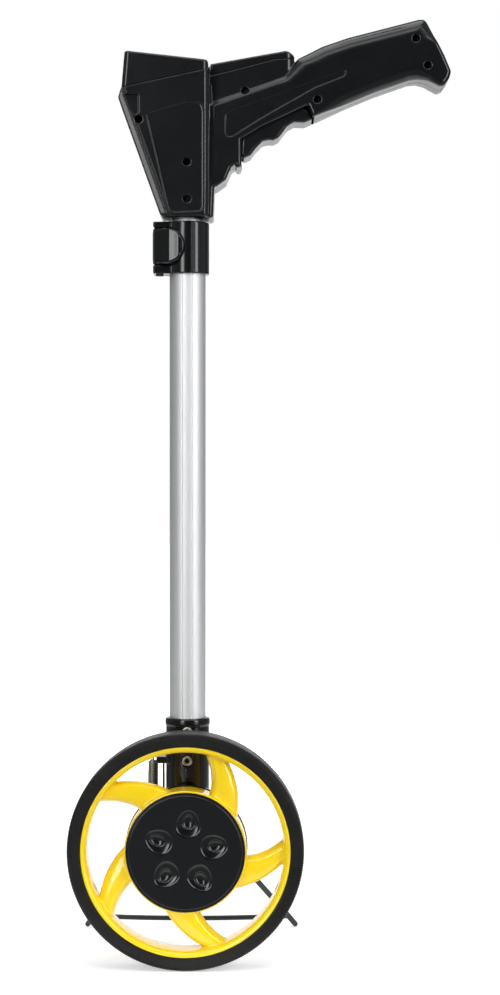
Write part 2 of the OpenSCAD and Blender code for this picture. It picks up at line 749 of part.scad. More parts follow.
module reset_button() { color([0.75, 0.12, 0.08]) button(-1); }

module mode_button() { color([0.35, 0.36, 0.37]) button(0); }

module power_button() { color([0.35, 0.36, 0.37]) button(1); }

module battery_tray() {
    h = pack_half - 0.1;
    color([0.15, 0.15, 0.15]) on_pack() difference() {
        translate([0, -h, -pack_deep]) cube([pack_len, 2 * h, pack_deep - 1]);
        translate([tray_t, tray_t - h, tray_t - pack_deep]) cube([pack_len - 2 * tray_t, 2 * (h - tray_t), pack_deep]);
    }
}

module battery_contacts() {
    plate = (pack_len - 2 * tray_t - cell_len) / 2 - 0.1;
    color([0.8, 0.78, 0.7]) on_pack() for (x = [tray_t, pack_len - tray_t - plate], s = [-1, 1])
        translate([x, s * (cell_r + 0.2) - 4, 0.4 - pack_deep + tray_t]) cube([plate, 8, 8.6]);
}

module battery_cells() {
    color([0.2, 0.3, 0.5]) on_pack() for (s = [-1, 1])
        translate([(pack_len - cell_len) / 2, s * (cell_r + 0.2), tray_t + cell_r + 0.1 - pack_deep])
        rotate([0, 90, 0]) union() {
            cylinder(r = cell_r, h = cell_len - 0.8);
            cylinder(r = 1.9, h = cell_len);
        }
}

module battery_cover() {
    color([0.10, 0.10, 0.105]) difference() {
        slab(pole_y - block_half, pole_y + block_half) polygon(lid_outline);
        on_pack() translate([3, 3 - block_half, -3]) cube([44, 2 * block_half - 6, 4.8]);
    }
}

module trigger() {
    color([0.09, 0.09, 0.095]) difference() {
        slab(pole_y - trigger_half, pole_y + trigger_half) polygon(trigger_outline);
        along_y(trigger_pin_at[0], trigger_pin_at[1], trigger_pin_r + bush_clear, 0, 2 * pole_y);
    }
}

module trigger_pin() {
    color([0.6, 0.6, 0.6]) along_y(trigger_pin_at[0], trigger_pin_at[1], trigger_pin_r,
        pole_y - grip_half + 1.2, pole_y + grip_half - 1.2);
}

module trigger_spring() {
    turns = 8;
    coil = [for (i = [0:12 * turns]) let(a = 30 * i)
        [69 + 2.4 * cos(a), pole_y + 2.4 * sin(a), 582.9 + 15 * i / (12 * turns)]];
    color([0.6, 0.6, 0.6]) swept_wire(coil, 0.4, 6);
}

module trigger_switch() {
    color([0.1, 0.1, 0.1]) union() {
        translate([50, pole_y - 3, 581]) cube([12, 6, 6]);
        translate([54, pole_y - 1, 577.2]) cube([2, 2, 4]);
    }
}

tyre();
rim();
hub_cover();
bearing_outer_rings();
bearing_balls();
magnet_ring();
axle();
axle_nut();
axle_sleeve();
bearing_spacer();
bearing_inner_rings();
wheel_bracket();
socket_screws();
sensor_disc();
sensor_board();
cable_gland();
sensor_lead();
outer_tube();
tube_bush();
clamp_collar();
clamp_pin();
clamp_lever();
stand_hub();
stand_shaft();
shaft_clip();
stand_crank();
stand_leg_left();
stand_leg_right();
stand_crossbar();
stand_spring();
inner_tube();
guide_bush();
tube_screws();
head_shell_front();
head_shell_back();
shell_screws();
display_cap();
display_window();
display_panel();
display_board();
button_switches();
reset_button();
mode_button();
power_button();
battery_tray();
battery_contacts();
battery_cells();
battery_cover();
trigger();
trigger_pin();
trigger_spring();
trigger_switch();
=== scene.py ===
"""Looks of the measuring wheel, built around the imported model's fixed frame.

Shapes are worked out in millimetres and turned into metres as each mesh is made.
Rounded mouldings are distance fields (negative inside) meshed on a regular grid.
"""

import json
import math

import bpy
import numpy as np
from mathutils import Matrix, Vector


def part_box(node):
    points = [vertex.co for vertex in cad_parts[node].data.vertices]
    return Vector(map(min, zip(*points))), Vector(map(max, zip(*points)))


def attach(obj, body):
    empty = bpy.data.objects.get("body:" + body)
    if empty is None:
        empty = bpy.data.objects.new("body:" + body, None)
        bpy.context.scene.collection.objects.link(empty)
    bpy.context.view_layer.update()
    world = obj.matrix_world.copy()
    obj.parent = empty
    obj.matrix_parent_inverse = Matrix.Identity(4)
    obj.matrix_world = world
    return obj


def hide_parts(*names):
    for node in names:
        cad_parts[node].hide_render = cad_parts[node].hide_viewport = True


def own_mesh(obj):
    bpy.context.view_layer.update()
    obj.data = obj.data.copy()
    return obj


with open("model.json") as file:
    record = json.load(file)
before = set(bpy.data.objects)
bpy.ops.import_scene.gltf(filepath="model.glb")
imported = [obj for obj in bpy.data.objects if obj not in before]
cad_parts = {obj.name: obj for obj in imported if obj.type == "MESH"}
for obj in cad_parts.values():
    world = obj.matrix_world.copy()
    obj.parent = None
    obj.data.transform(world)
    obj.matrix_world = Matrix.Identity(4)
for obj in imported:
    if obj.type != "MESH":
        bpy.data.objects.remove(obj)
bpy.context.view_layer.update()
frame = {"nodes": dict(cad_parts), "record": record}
MM = 0.001


# ---- places taken from the frame, in millimetres ----


def box_mm(node):
    """A node's lowest and highest corners, in millimetres."""
    low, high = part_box(node)
    return np.array(low) / MM, np.array(high) / MM


TYRE_LOW, TYRE_HIGH = box_mm("tyre")
WHEEL_R = (TYRE_HIGH[2] - TYRE_LOW[2]) / 2
AXLE_Z = TYRE_LOW[2] + WHEEL_R
TYRE_HALF = TYRE_HIGH[1]
RIM_LOW, RIM_HIGH = box_mm("rim")
RIM_R = (RIM_HIGH[0] - RIM_LOW[0]) / 2
RIM_HALF = RIM_HIGH[1]
COVER_LOW, COVER_HIGH = box_mm("hub_cover")
COVER_R = COVER_HIGH[0]
TUBE_LOW, TUBE_HIGH = box_mm("outer_tube")
POLE_Y = (TUBE_LOW[1] + TUBE_HIGH[1]) / 2
TUBE_R = TUBE_HIGH[0]
BRACKET_LOW, BRACKET_HIGH = box_mm("wheel_bracket")
COLLAR_LOW, COLLAR_HIGH = box_mm("clamp_collar")
SHELL_LOW, SHELL_HIGH = box_mm("head_shell_front")
CAP_LOW, CAP_HIGH = box_mm("display_cap")
LID_LOW, LID_HIGH = box_mm("battery_cover")
LEVER_LOW, LEVER_HIGH = box_mm("clamp_lever")
PIN_LOW, PIN_HIGH = box_mm("clamp_pin")
HUB_LOW, HUB_HIGH = box_mm("stand_hub")
PIVOT_Y, PIVOT_Z = (HUB_LOW[1] + HUB_HIGH[1]) / 2, (HUB_LOW[2] + HUB_HIGH[2]) / 2


# ---- distance fields ----


def axes(low, high, step):
    """Three arrays of grid coordinates that broadcast to one block."""
    x, y, z = (np.arange(a, b + step, step, dtype=np.float32) for a, b in zip(low, high))
    return x[:, None, None], y[None, :, None], z[None, None, :]


def outline(points, u, v):
    """Distance in a plane from (u, v) to a closed outline."""
    p = np.array(points, np.float32)
    best = np.full(np.broadcast(u, v).shape, 1e9, np.float32)
    inside = np.zeros(best.shape, bool)
    for (ax, ay), (bx, by) in zip(p, np.roll(p, -1, 0)):
        ex, ey = bx - ax, by - ay
        along = np.clip(((u - ax) * ex + (v - ay) * ey) / (ex * ex + ey * ey), 0, 1)
        best = np.minimum(best, (u - ax - ex * along) ** 2 + (v - ay - ey * along) ** 2)
        if ay != by:
            inside ^= ((ay > v) != (by > v)) & (u < ex * (v - ay) / ey + ax)
    return np.where(inside, -1, 1).astype(np.float32) * np.sqrt(best)


def soften(points, radius):
    """The outline with every corner bent to a curve; radius is one number, or one per corner."""
    p = np.array(points, float)
    made = []
    for i, r in enumerate(np.broadcast_to(radius, len(p))):
        b = p[i]
        a, c = p[i - 1] - b, p[(i + 1) % len(p)] - b
        la, lc = np.linalg.norm(a), np.linalg.norm(c)
        half = math.acos(np.clip(a @ c / la / lc, -1, 1)) / 2
        reach = max(min(r / max(math.tan(half), 1e-3), 0.48 * la, 0.48 * lc), 0.01)
        start, end = b + a / la * reach, b + c / lc * reach
        for t in np.linspace(0, 1, 6):
            made.append((1 - t) ** 2 * start + 2 * t * (1 - t) * b + t * t * end)
    return made


def line(a, b, u, v):
    """Distance from the line through a and b, positive on its right when going from a to b."""
    ex, ey = b[0] - a[0], b[1] - a[1]
    return ((u - a[0]) * ey - (v - a[1]) * ex) / math.hypot(ex, ey)


def meet(a, b, r):
    """What lies in both solids, with the edge between them rounded."""
    a, b = a + r, b + r
    return np.minimum(np.maximum(a, b), 0) + np.hypot(np.maximum(a, 0), np.maximum(b, 0)) - r


def join(a, b, r):
    """Both solids together, with a fillet in the corner between them."""
    return -meet(-a, -b, r)


def cut(a, b, r):
    """The first solid less the second, with the rim of the cut rounded."""
    return meet(a, -b, r)


def drill(u, v, at, radius):
    """A round hole or pin along the third axis."""
    return np.hypot(u - at[0], v - at[1]) - radius


def slab(value, low, high):
    """Distance from the layer between two levels of one coordinate."""
    return np.maximum(low - value, value - high)


def block_of(x, y, z, xs, ys, zs, r):
    """A block between pairs of limits, its edges rounded."""
    return meet(meet(slab(x, *xs), slab(y, *ys), r), slab(z, *zs), r)


def skin(field, low, step):
    """The closed surface where a field is zero: one point in each cell that it passes through."""
    inside = field < 0
    cells = tuple(n - 1 for n in field.shape)
    corners = [(i, j, k) for i in (0, 1) for j in (0, 1) for k in (0, 1)]

    def shifted(block, c):
        return block[c[0] : c[0] + cells[0], c[1] : c[1] + cells[1], c[2] : c[2] + cells[2]]

    count = sum(shifted(inside, c).astype(np.uint8) for c in corners)
    at = np.argwhere((count > 0) & (count < 8))
    index = np.full(cells, -1, np.int32)
    index[tuple(at.T)] = np.arange(len(at))
    value = {c: field[tuple((at + c).T)] for c in corners}
    total, hits = np.zeros((len(at), 3)), np.zeros(len(at))
    for a in corners:
        for axis in range(3):
            if a[axis]:
                continue
            b = tuple(1 if n == axis else a[n] for n in range(3))
            crossed = (value[a] < 0) != (value[b] < 0)
            share = value[a][crossed] / (value[a][crossed] - value[b][crossed])
            point = np.tile(np.array(a, float), (len(share), 1))
            point[:, axis] += share
            total[crossed] += point
            hits[crossed] += 1
    points = np.array(low) + step * (at + total / hits[:, None])
    faces = []
    for d in range(3):
        e, f = (d + 1) % 3, (d + 2) % 3
        near = [slice(1, -1)] * 3
        far = [slice(1, -1)] * 3
        near[d], far[d] = slice(0, -1), slice(1, None)
        solid_near, solid_far = inside[tuple(near)], inside[tuple(far)]
        found = np.argwhere(solid_near != solid_far)
        leaves = solid_near[tuple(found.T)]
        found[:, e] += 1
        found[:, f] += 1
        quad = []
        for de, df in ((1, 1), (0, 1), (0, 0), (1, 0)):
            cell = found.copy()
            cell[:, e] -= de
            cell[:, f] -= df
            quad.append(index[tuple(cell.T)])
        quad = np.stack(quad, 1)
        quad[~leaves] = quad[~leaves][:, ::-1]
        faces.append(quad)
    return points, np.concatenate(faces)


# ---- pieces ----


def piece(name, points, faces, body, nodes, slot, finish=None):
    """A smooth mesh piece from points in millimetres, on its body and in place of its CAD nodes."""
    mesh = bpy.data.meshes.new(name)
    points = np.asarray(points, float)
    if isinstance(faces, np.ndarray):
        a, b, c, d = (points[faces[:, k]] for k in range(4))
        if np.einsum("ij,ij->", a, np.cross(b, c) + np.cross(c, d)) < 0:
            faces = faces[:, ::-1]
        mesh.vertices.add(len(points))
        mesh.vertices.foreach_set("co", (points * MM).astype(np.float32).ravel())
        mesh.loops.add(faces.size)
        mesh.loops.foreach_set("vertex_index", faces.astype(np.int32).ravel())
        mesh.polygons.add(len(faces))
        mesh.polygons.foreach_set("loop_start", np.arange(0, faces.size, faces.shape[1], dtype=np.int32))
        mesh.update(calc_edges=True)
    else:
        mesh.from_pydata((points * MM).tolist(), [], faces)
        mesh.update()
    mesh.validate()
    mesh.shade_smooth()
    mesh.materials.append(FINISHES[finish or slot])
    obj = bpy.data.objects.new(name, mesh)
    bpy.context.scene.collection.objects.link(obj)
    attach(obj, body)
    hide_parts(*nodes)
    return obj


def moulded(node, make, step, body, slot):
    """The piece in place of one CAD node, from a distance field over that node's box."""
    low, high = box_mm(node)
    low, high = low - 2 * step, high + 2 * step
    points, faces = skin(make(*axes(low, high, step)).astype(np.float32), low, step)
    return piece(f"{node}_moulded", points, faces, body, [node], slot)


def lathe(profile, turns, centre, wobble=None):
    """Points and faces of a ring turned about the axle's direction from (radius, y) points."""
    profile = np.array(profile, float)
    angle = np.linspace(0, 2 * np.pi, turns, endpoint=False)
    radius = np.repeat(profile[None, :, 0], turns, 0)
    if wobble is not None:
        radius = radius + wobble(angle[:, None], profile[None, :, 0], profile[None, :, 1])
    points = np.stack(
        [
            centre[0] + radius * np.cos(angle)[:, None],
            np.repeat(profile[None, :, 1], turns, 0),
            centre[1] + radius * np.sin(angle)[:, None],
        ],
        -1,
    )
    n = len(profile)
    i, k = np.meshgrid(np.arange(turns), np.arange(n), indexing="ij")
    after, over = (i + 1) % turns, (k + 1) % n
    faces = np.stack([i * n + k, i * n + over, after * n + over, after * n + k], -1).reshape(-1, 4)
    return points.reshape(-1, 3), faces


def sweep(path, radius, sides=16, round_ends=True):
    """Points and faces of a round wire along a path."""
    path = np.array(path, float)
    radius = np.broadcast_to(np.array(radius, float), len(path)).copy()
    if round_ends:
        dome = np.radians([80, 60, 40, 20])
        for end, beyond in ((0, 1), (-1, -2)):
            away = path[end] - path[beyond]
            away /= np.linalg.norm(away)
            tip = [path[end] - away * radius[end] * (1 - math.sin(a)) for a in dome[::-1]]
            thick = [radius[end] * math.cos(a) for a in dome[::-1]]
            body = path[end] - away * radius[end]
            if end == 0:
                path = np.vstack([tip[::-1], [body], path[1:]])
                radius = np.concatenate([thick[::-1], [radius[0]], radius[1:]])
            else:
                path = np.vstack([path[:-1], [body], tip])
                radius = np.concatenate([radius[:-1], [radius[-1]], thick])
    heading = np.gradient(path, axis=0)
    heading /= np.linalg.norm(heading, axis=1)[:, None]
    up = np.array([0.3, 0.5, 0.8])
    points = []
    turn = np.linspace(0, 2 * np.pi, sides, endpoint=False)
    for p, t, r in zip(path, heading, radius):
        up = up - (up @ t) * t
        up /= np.linalg.norm(up)
        side = np.cross(t, up)
        points += [p + r * (math.cos(a) * up + math.sin(a) * side) for a in turn]
    faces = [
        [i * sides + k, i * sides + (k + 1) % sides, (i + 1) * sides + (k + 1) % sides, (i + 1) * sides + k]
        for i in range(len(path) - 1)
        for k in range(sides)
    ]
    last = (len(path) - 1) * sides
    faces.append(list(range(sides))[::-1])
    faces.append([last + k for k in range(sides)])
    return points, faces


# ---- materials ----


class Finish:
    """A node material around one Principled shader, patterned in the object's own space."""

    def __init__(self, name, **values):
        self.material = bpy.data.materials.new(name)
        self.material.use_nodes = True
        self.tree = self.material.node_tree
        self.shader = self.tree.nodes["Principled BSDF"]
        self.place = self.node("ShaderNodeTexCoord").outputs["Object"]
        self.normal = None
        for key, value in values.items():
            self.set(key, value)

    def node(self, kind, inputs=None, **properties):
        made = self.tree.nodes.new(kind)
        for key, value in properties.items():
            setattr(made, key, value)
        for key, value in (inputs or {}).items():
            if isinstance(value, bpy.types.NodeSocket):
                self.tree.links.new(value, made.inputs[key])
            else:
                made.inputs[key].default_value = value
        return made

    def set(self, key, value):
        socket = self.shader.inputs[key.replace("_", " ")]
        if isinstance(value, bpy.types.NodeSocket):
            self.tree.links.new(value, socket)
        else:
            colour = isinstance(value, tuple) and len(value) == 3 and socket.type == "RGBA"
            socket.default_value = (*value, 1) if colour else value

    def noise(self, size, detail=3.0, stretch=(1, 1, 1)):
        """Noise with features of that size in metres."""
        at = self.node("ShaderNodeMapping", {"Vector": self.place, "Scale": tuple(s / size for s in stretch)})
        inputs = {"Vector": at.outputs[0], "Scale": 1.0, "Detail": detail}
        return self.node("ShaderNodeTexNoise", inputs).outputs["Fac"]

    def span(self, factor, low, high, start=0.3, end=0.7):
        """The factor from start to end as a number from low to high."""
        inputs = {"Value": factor, "From Min": start, "From Max": end, "To Min": low, "To Max": high}
        return self.node("ShaderNodeMapRange", inputs).outputs[0]

    def mix(self, factor, a, b):
        made = self.node("ShaderNodeMix", data_type="RGBA")
        for socket, value in ((made.inputs[0], factor), (made.inputs[6], a), (made.inputs[7], b)):
            if isinstance(value, bpy.types.NodeSocket):
                self.tree.links.new(value, socket)
            else:
                socket.default_value = (*value, 1) if isinstance(value, tuple) else value
        return made.outputs[2]

    def bump(self, height, distance, strength=1.0):
        """Adds relief that many metres deep; each call builds on the last."""
        inputs = {"Height": height, "Distance": distance, "Strength": strength}
        if self.normal is not None:
            inputs["Normal"] = self.normal
        self.normal = self.node("ShaderNodeBump", inputs).outputs["Normal"]
        self.set("Normal", self.normal)


def plastic(name, dark, light, rough, grain, depth, sink=0.0):
    """Moulded plastic: faintly mottled colour and shine, and a spark-eroded grain."""
    made = Finish(name)
    made.set("Base_Color", made.mix(made.span(made.noise(0.03, 2), 0.0, 1.0), dark, light))
    made.set("Roughness", made.span(made.noise(0.02, 2), rough - 0.015, rough + 0.025))
    made.bump(made.noise(0.03, 2), 0.00012, 0.6)
    made.bump(made.noise(grain, 2), depth)
    if sink:
        made.set("Subsurface_Weight", sink)
        made.set("Subsurface_Scale", 0.004)
    return made.material


def metal(name, colour, stain, rough):
    """Bare metal: colour and roughness in patches, and a fine grain."""
    made = Finish(name, Metallic=1.0)
    made.set("Base_Color", made.mix(made.span(made.noise(0.012, 5), 0.0, 1.0), colour, stain))
    made.set("Roughness", made.span(made.noise(0.004, 5), rough - 0.05, rough + 0.08))
    made.bump(made.noise(0.0004, 3), 0.000008)
    return made.material


def make_rubber():
    made = Finish("tyre_rubber")
    worn = made.mix(made.span(made.noise(0.03, 6), 0.0, 1.0), (0.008, 0.008, 0.0078), (0.014, 0.014, 0.0133))
    dusty = made.span(made.noise(0.0025, 6), 0.0, 0.35, 0.45, 0.75)
    colour = made.mix(dusty, worn, (0.022, 0.022, 0.02))
    made.set("Base_Color", colour)
    made.set("Specular_IOR_Level", 0.2)
    made.set("Roughness", made.span(made.noise(0.005, 4), 0.34, 0.46))
    made.bump(made.noise(0.012, 3), 0.0001, 0.5)
    made.bump(made.noise(0.0005, 3), 0.00002)
    return made.material


def make_yellow():
    made = Finish("yellow_plastic", Coat_Weight=0.6, Coat_Roughness=0.07)
    colour = made.mix(made.span(made.noise(0.02, 4), 0.0, 1.0), (1.0, 0.69, 0.006), (1.0, 0.72, 0.009))
    made.set("Base_Color", colour)
    made.set("Subsurface_Weight", 0.25)
    made.set("Subsurface_Radius", (1.0, 0.45, 0.08))
    made.set("Subsurface_Scale", 0.003)
    made.set("Roughness", made.span(made.noise(0.01, 2), 0.22, 0.26))
    made.bump(made.noise(0.015, 2), 0.00004, 0.5)
    made.bump(made.noise(0.0006, 2), 0.000004)
    return made.material


def make_anodised():
    made = Finish("aluminium", Metallic=1.0)
    lines = made.noise(0.00022, 3, (1, 1, 0.004))
    streaks = made.noise(0.0018, 4, (1, 1, 0.01))
    made.set("Base_Color", made.mix(made.span(streaks, 0.0, 1.0), (0.76, 0.765, 0.77), (0.82, 0.825, 0.83)))
    made.set("Roughness", made.span(lines, 0.55, 0.6))
    made.bump(lines, 0.0000012)
    made.bump(made.noise(0.0001, 2), 0.000001)
    return made.material


def make_window():
    made = Finish("window", Roughness=0.06, Transmission_Weight=0.85, IOR=1.49)
    cloud = made.span(made.noise(0.02, 3), 0.0, 1.0)
    made.set("Base_Color", made.mix(cloud, (0.55, 0.6, 0.6), (0.68, 0.72, 0.7)))
    made.bump(made.noise(0.01, 3), 0.00003)
    return made.material


def make_lcd():
    """Reflective display: grey-green glass with a fine, darker pixel grain."""
    made = Finish("lcd", Roughness=0.25)
    colour = made.mix(made.span(made.noise(0.015, 3), 0.0, 1.0), (0.30, 0.34, 0.26), (0.38, 0.43, 0.33))
    made.set("Base_Color", made.mix(made.span(made.noise(0.0004, 1), 0.0, 0.25), colour, (0.2, 0.24, 0.19)))
    made.bump(made.noise(0.0003, 1), 0.000004)
    return made.material


def make_board():
    made = Finish("circuit_board", Roughness=0.35)
    tracks = made.node("ShaderNodeTexVoronoi", {"Vector": made.place, "Scale": 420.0}, distance="MANHATTAN")
    copper = made.span(tracks.outputs["Distance"], 1.0, 0.0, 0.05, 0.12)
    green = made.mix(made.span(made.noise(0.002, 4), 0.0, 1.0), (0.01, 0.09, 0.035), (0.02, 0.14, 0.05))
    made.set("Base_Color", made.mix(copper, green, (0.45, 0.36, 0.12)))
    made.bump(copper, 0.00003)
    return made.material


def make_sleeve():
    """Shrink sleeve of a battery cell, with a pale band towards its plus end."""
    made = Finish("cell_sleeve", Roughness=0.3)
    along = made.node("ShaderNodeSeparateXYZ", {"Vector": made.place}).outputs["X"]
    band = made.span(along, 0.0, 1.0, 0.052, 0.0525)
    blue = made.mix(made.span(made.noise(0.004, 3), 0.0, 1.0), (0.02, 0.06, 0.16), (0.03, 0.09, 0.22))
    made.set("Base_Color", made.mix(band, blue, (0.5, 0.5, 0.5)))
    made.bump(made.noise(0.0015, 3), 0.00003)
    return made.material


BLACK, COAL = (0.0048, 0.0056, 0.0064), (0.0058, 0.0067, 0.0076)
FINISHES = {
    "tyre_rubber": make_rubber(),
    "yellow_plastic": make_yellow(),
    "black_plastic": plastic("black_plastic", BLACK, COAL, 0.16, 0.0006, 0.000004),
    "head_plastic": plastic("head_plastic", BLACK, COAL, 0.22, 0.00035, 0.00001),
    "aluminium": make_anodised(),
    "steel": metal("steel", (0.62, 0.6, 0.55), (0.45, 0.43, 0.38), 0.3),
    # dark_steel is painted shade where it goes on the screws in their holes and on the plugs deep in the
    # rivet bores; the clamp pin wears it too.
    "dark_steel": metal("dark_steel", (0.03, 0.03, 0.032), (0.018, 0.018, 0.018), 0.35),
    "spring_steel": metal("spring_steel", (0.42, 0.4, 0.31), (0.3, 0.28, 0.21), 0.4),
    "coated_wire": plastic("coated_wire", (0.006, 0.006, 0.006), (0.01, 0.01, 0.01), 0.3, 0.0004, 0.000015),
    "ferrite": plastic("ferrite", (0.03, 0.028, 0.028), (0.05, 0.048, 0.046), 0.6, 0.0003, 0.00003),
    "circuit_board": make_board(),
    "nylon": plastic("nylon", (0.015, 0.015, 0.015), (0.022, 0.022, 0.022), 0.45, 0.0004, 0.00001),
    "cable_jacket": plastic("cable_jacket", (0.01, 0.01, 0.01), (0.016, 0.016, 0.016), 0.5, 0.0003, 0.000012),
    "window": make_window(),
    "lcd": make_lcd(),
    "red_key": plastic("red_key", (0.42, 0.015, 0.01), (0.5, 0.025, 0.015), 0.42, 0.0003, 0.000012, sink=0.1),
    "grey_key": plastic("grey_key", (0.12, 0.125, 0.13), (0.15, 0.155, 0.16), 0.42, 0.0003, 0.000012),
    "cell_sleeve": make_sleeve(),
}


# ---- wheel ----

RIBS = 300


def tyre_piece():
    """The solid tyre: a fine slanted rib across the tread, a shoulder line, and a bead at the rim."""
    front = [
        (RIM_R, 0.75), (RIM_R + 0.1, 0.35), (RIM_R + 0.45, 0.08), (RIM_R + 1.1, 0.0),
        (RIM_R + 3.2, 0.06), (RIM_R + 5.6, 0.05), (WHEEL_R - 2.75, 0.0), (WHEEL_R - 2.5, 0.05),
        (WHEEL_R - 2.3, 0.4), (WHEEL_R - 2.05, 0.42), (WHEEL_R - 1.85, 0.1), (WHEEL_R - 1.6, 0.08),
        (WHEEL_R - 1.1, 0.25), (WHEEL_R - 0.6, 0.7), (WHEEL_R - 0.3, 1.3), (WHEEL_R - 0.12, 2.2),
        (WHEEL_R - 0.03, 4.5), (WHEEL_R, 8.0),
    ]
    sides = [(r, -TYRE_HALF + y) for r, y in front] + [(r, TYRE_HALF - y) for r, y in front[::-1]]
    seat_r, seat_half = RIM_R - 2.4, RIM_HALF - 2.8
    inner = [(RIM_R, seat_half), (seat_r, seat_half), (seat_r, -seat_half), (RIM_R, -seat_half)]

    def ribs(angle, radius, y):
        wave = np.cos(RIBS * angle + 0.35 * y)
        depth = np.clip((radius - WHEEL_R + 0.9) / 0.7, 0, 1)
        return -0.3 * depth * np.clip(0.5 - 1.1 * wave, 0, 1)

    points, faces = lathe(sides + inner, RIBS * 6, (0, AXLE_Z), ribs)
    return piece("tyre_moulded", points, faces, "wheel", ["tyre"], "tyre_rubber")


SPOKES = 5
SPOKE_FIRST, SPOKE_SWEEP = -0.5, 22
SPOKE_HUB_HALF, SPOKE_RIM_HALF, SPOKE_THICK = 12.5, 8.5, 7.5
DRUM_R = COVER_R + 1
RIM_IN = RIM_R - 4.3


def spoke_field(r, turn, y):
    """Swept spokes with a crowned face and a soft ridge off their middle."""
    f = np.clip((r - DRUM_R) / (RIM_IN - DRUM_R), -0.4, 1.4)
    middle = SPOKE_FIRST - SPOKE_SWEEP * (1 - f)
    pitch = 360 / SPOKES
    across = np.radians((turn - middle + pitch / 2) % pitch - pitch / 2) * r
    half = SPOKE_HUB_HALF + (SPOKE_RIM_HALF - SPOKE_HUB_HALF) * f
    slope = math.radians(SPOKE_SWEEP) / (RIM_IN - DRUM_R) * r
    side = (np.abs(across) - half) / np.sqrt(1 + slope**2)
    ridge = (across - 0.25 * half) / half
    crown = 0.5 * np.hypot(ridge, 0.07) + 1.5 * ridge**2
    face = (np.abs(y) - SPOKE_THICK + crown) * 0.93
    flank = (np.abs(across) - half + 3.2 - 0.5 * (SPOKE_THICK - np.abs(y))) / np.sqrt(1.25 + slope**2)
    return np.maximum(meet(side, meet(face, flank, 1.3), 0.8), np.maximum(r - RIM_IN - 3, DRUM_R - 2 - r))


def rim_field(x, y, z):
    z = z - AXLE_Z
    r, turn = np.hypot(x, z), np.degrees(np.arctan2(z, x))
    e, s = RIM_HALF, RIM_HALF - 2.8
    half_ring = [
        (RIM_R, -s), (RIM_R, -e + 0.5), (RIM_R - 0.5, -e), (RIM_R - 1.3, -e + 0.05),
        (RIM_R - 2.3, -e + 0.5), (RIM_R - 3.3, -e + 1.6), (RIM_R - 4.0, -e + 3.6),
        (RIM_R - 4.3, -e + 7.2),
    ]
    ring = half_ring + [(a, -b) for a, b in half_ring[::-1]] + [(RIM_R - 2.4, s), (RIM_R - 2.4, -s)]
    radii = np.arange(RIM_IN - 6, RIM_R + 2, 0.1, dtype=np.float32)
    table = outline(ring, radii[:, None], y.reshape(1, -1))
    lip = np.stack([np.interp(r[:, 0, :], radii, table[:, j]) for j in range(table.shape[1])], 1)
    body = join(lip, spoke_field(r, turn, y), 1.4)
    drum = meet(np.abs(r - DRUM_R + 1.5) - 1.5, np.abs(y) - 11, 0.6)
    body = join(body, drum, 1.2)
    web = np.maximum(np.maximum(np.abs(y) - 2.5, r - DRUM_R + 1), 13.5 - r)
    boss = meet(np.abs(r - 12.75) - 1.75, np.abs(y) - 9.2, 0.4)
    body = join(join(body, web, 1.2), boss, 0.8)
    return np.maximum(body, r - RIM_R)


DIMPLES, DIMPLE_FIRST, DIMPLE_R = 5, 84.4, 19.6


def cover_field(x, y, z):
    """The hub cover: a raised face inside a bevelled edge, with five egg-shaped dimples."""
    z = z - AXLE_Z
    r = np.hypot(x, z)
    front, back = COVER_LOW[1], COVER_LOW[1] + 1.6
    low = meet(r - COVER_R, np.maximum(front + 0.55 - y, y - back), 0.35)
    high = meet(r - COVER_R + 2.0, np.maximum(front - y, y - back), 0.3)
    body = join(low, high, 0.25)
    skirt = np.maximum(np.abs(r - DRUM_R + 3.85) - 0.85, np.maximum(back - 0.3 - y, y - back - 5))
    body = np.minimum(body, skirt)
    for i in range(DIMPLES):
        a = math.radians(DIMPLE_FIRST + 360 / DIMPLES * i)
        p = x * math.cos(a) + z * math.sin(a) - DIMPLE_R
        q = (-x * math.sin(a) + z * math.cos(a)) * (1 + 0.02 * p)
        egg = np.hypot(p / 1.15, q) - 7.8
        backing = meet(egg - 1.2, slab(y, back - 0.5, front + 4.2), 0.5)
        body = join(body, backing, 0.3)
        bowl = (np.sqrt((p / 9) ** 2 + (q / 7.8) ** 2 + ((y - front) / 1.5) ** 2) - 1) * 1.5
        inner = (np.sqrt(((p - 1) / 5) ** 2 + (q / 4) ** 2 + ((y - front - 1.1) / 2.0) ** 2) - 1) * 2.0
        body = cut(cut(body, bowl, 0.22), inner, 0.3)
    return body


RIM_STEP, COVER_STEP = 0.45, 0.26
tyre_piece()
moulded("rim", rim_field, RIM_STEP, "wheel", "yellow_plastic")
moulded("hub_cover", cover_field, COVER_STEP, "wheel", "black_plastic")

# ---- head ----

FOOT_HALF = 19
LEAN = math.atan2(CAP_HIGH[1] - CAP_LOW[1] + 1 - 2 * FOOT_HALF, 2 * 92)
GRIP_HALF, BLOCK_HALF, TRIGGER_HALF, SLOT_HALF, WALL = 16.5, 14, 12.5, 13.2, 2.6
HEAD_STEP, COVERS_STEP, KEY_STEP = 0.42, 0.36, 0.25
BOX_EDGE = [(-17.3, 507.6), (-46.4, 588.3)]
CAP_SEAM = [(-44.1, 594.85), (14.8, 607.15)]
LID_SEAM = [(15, 605.6), (61.4, 617.55), (74, 617.95)]
BOX = [
    (-17.3, 507.6), (14.2, 507.2), (14.6, 530), (14.8, 625), (-42.2, 625), (-44.2, 594.8),
    (-46.4, 588.3),
]
BOX_ROOM = [(-13, 522), (11.8, 522), (11.8, 612), (-38, 603), (-28, 593), (-28, 572)]
SPINE = [(4, 507.2), (17.9, 507), (18.8, 530), (17.8, 570), (16.4, 600), (4, 600)]
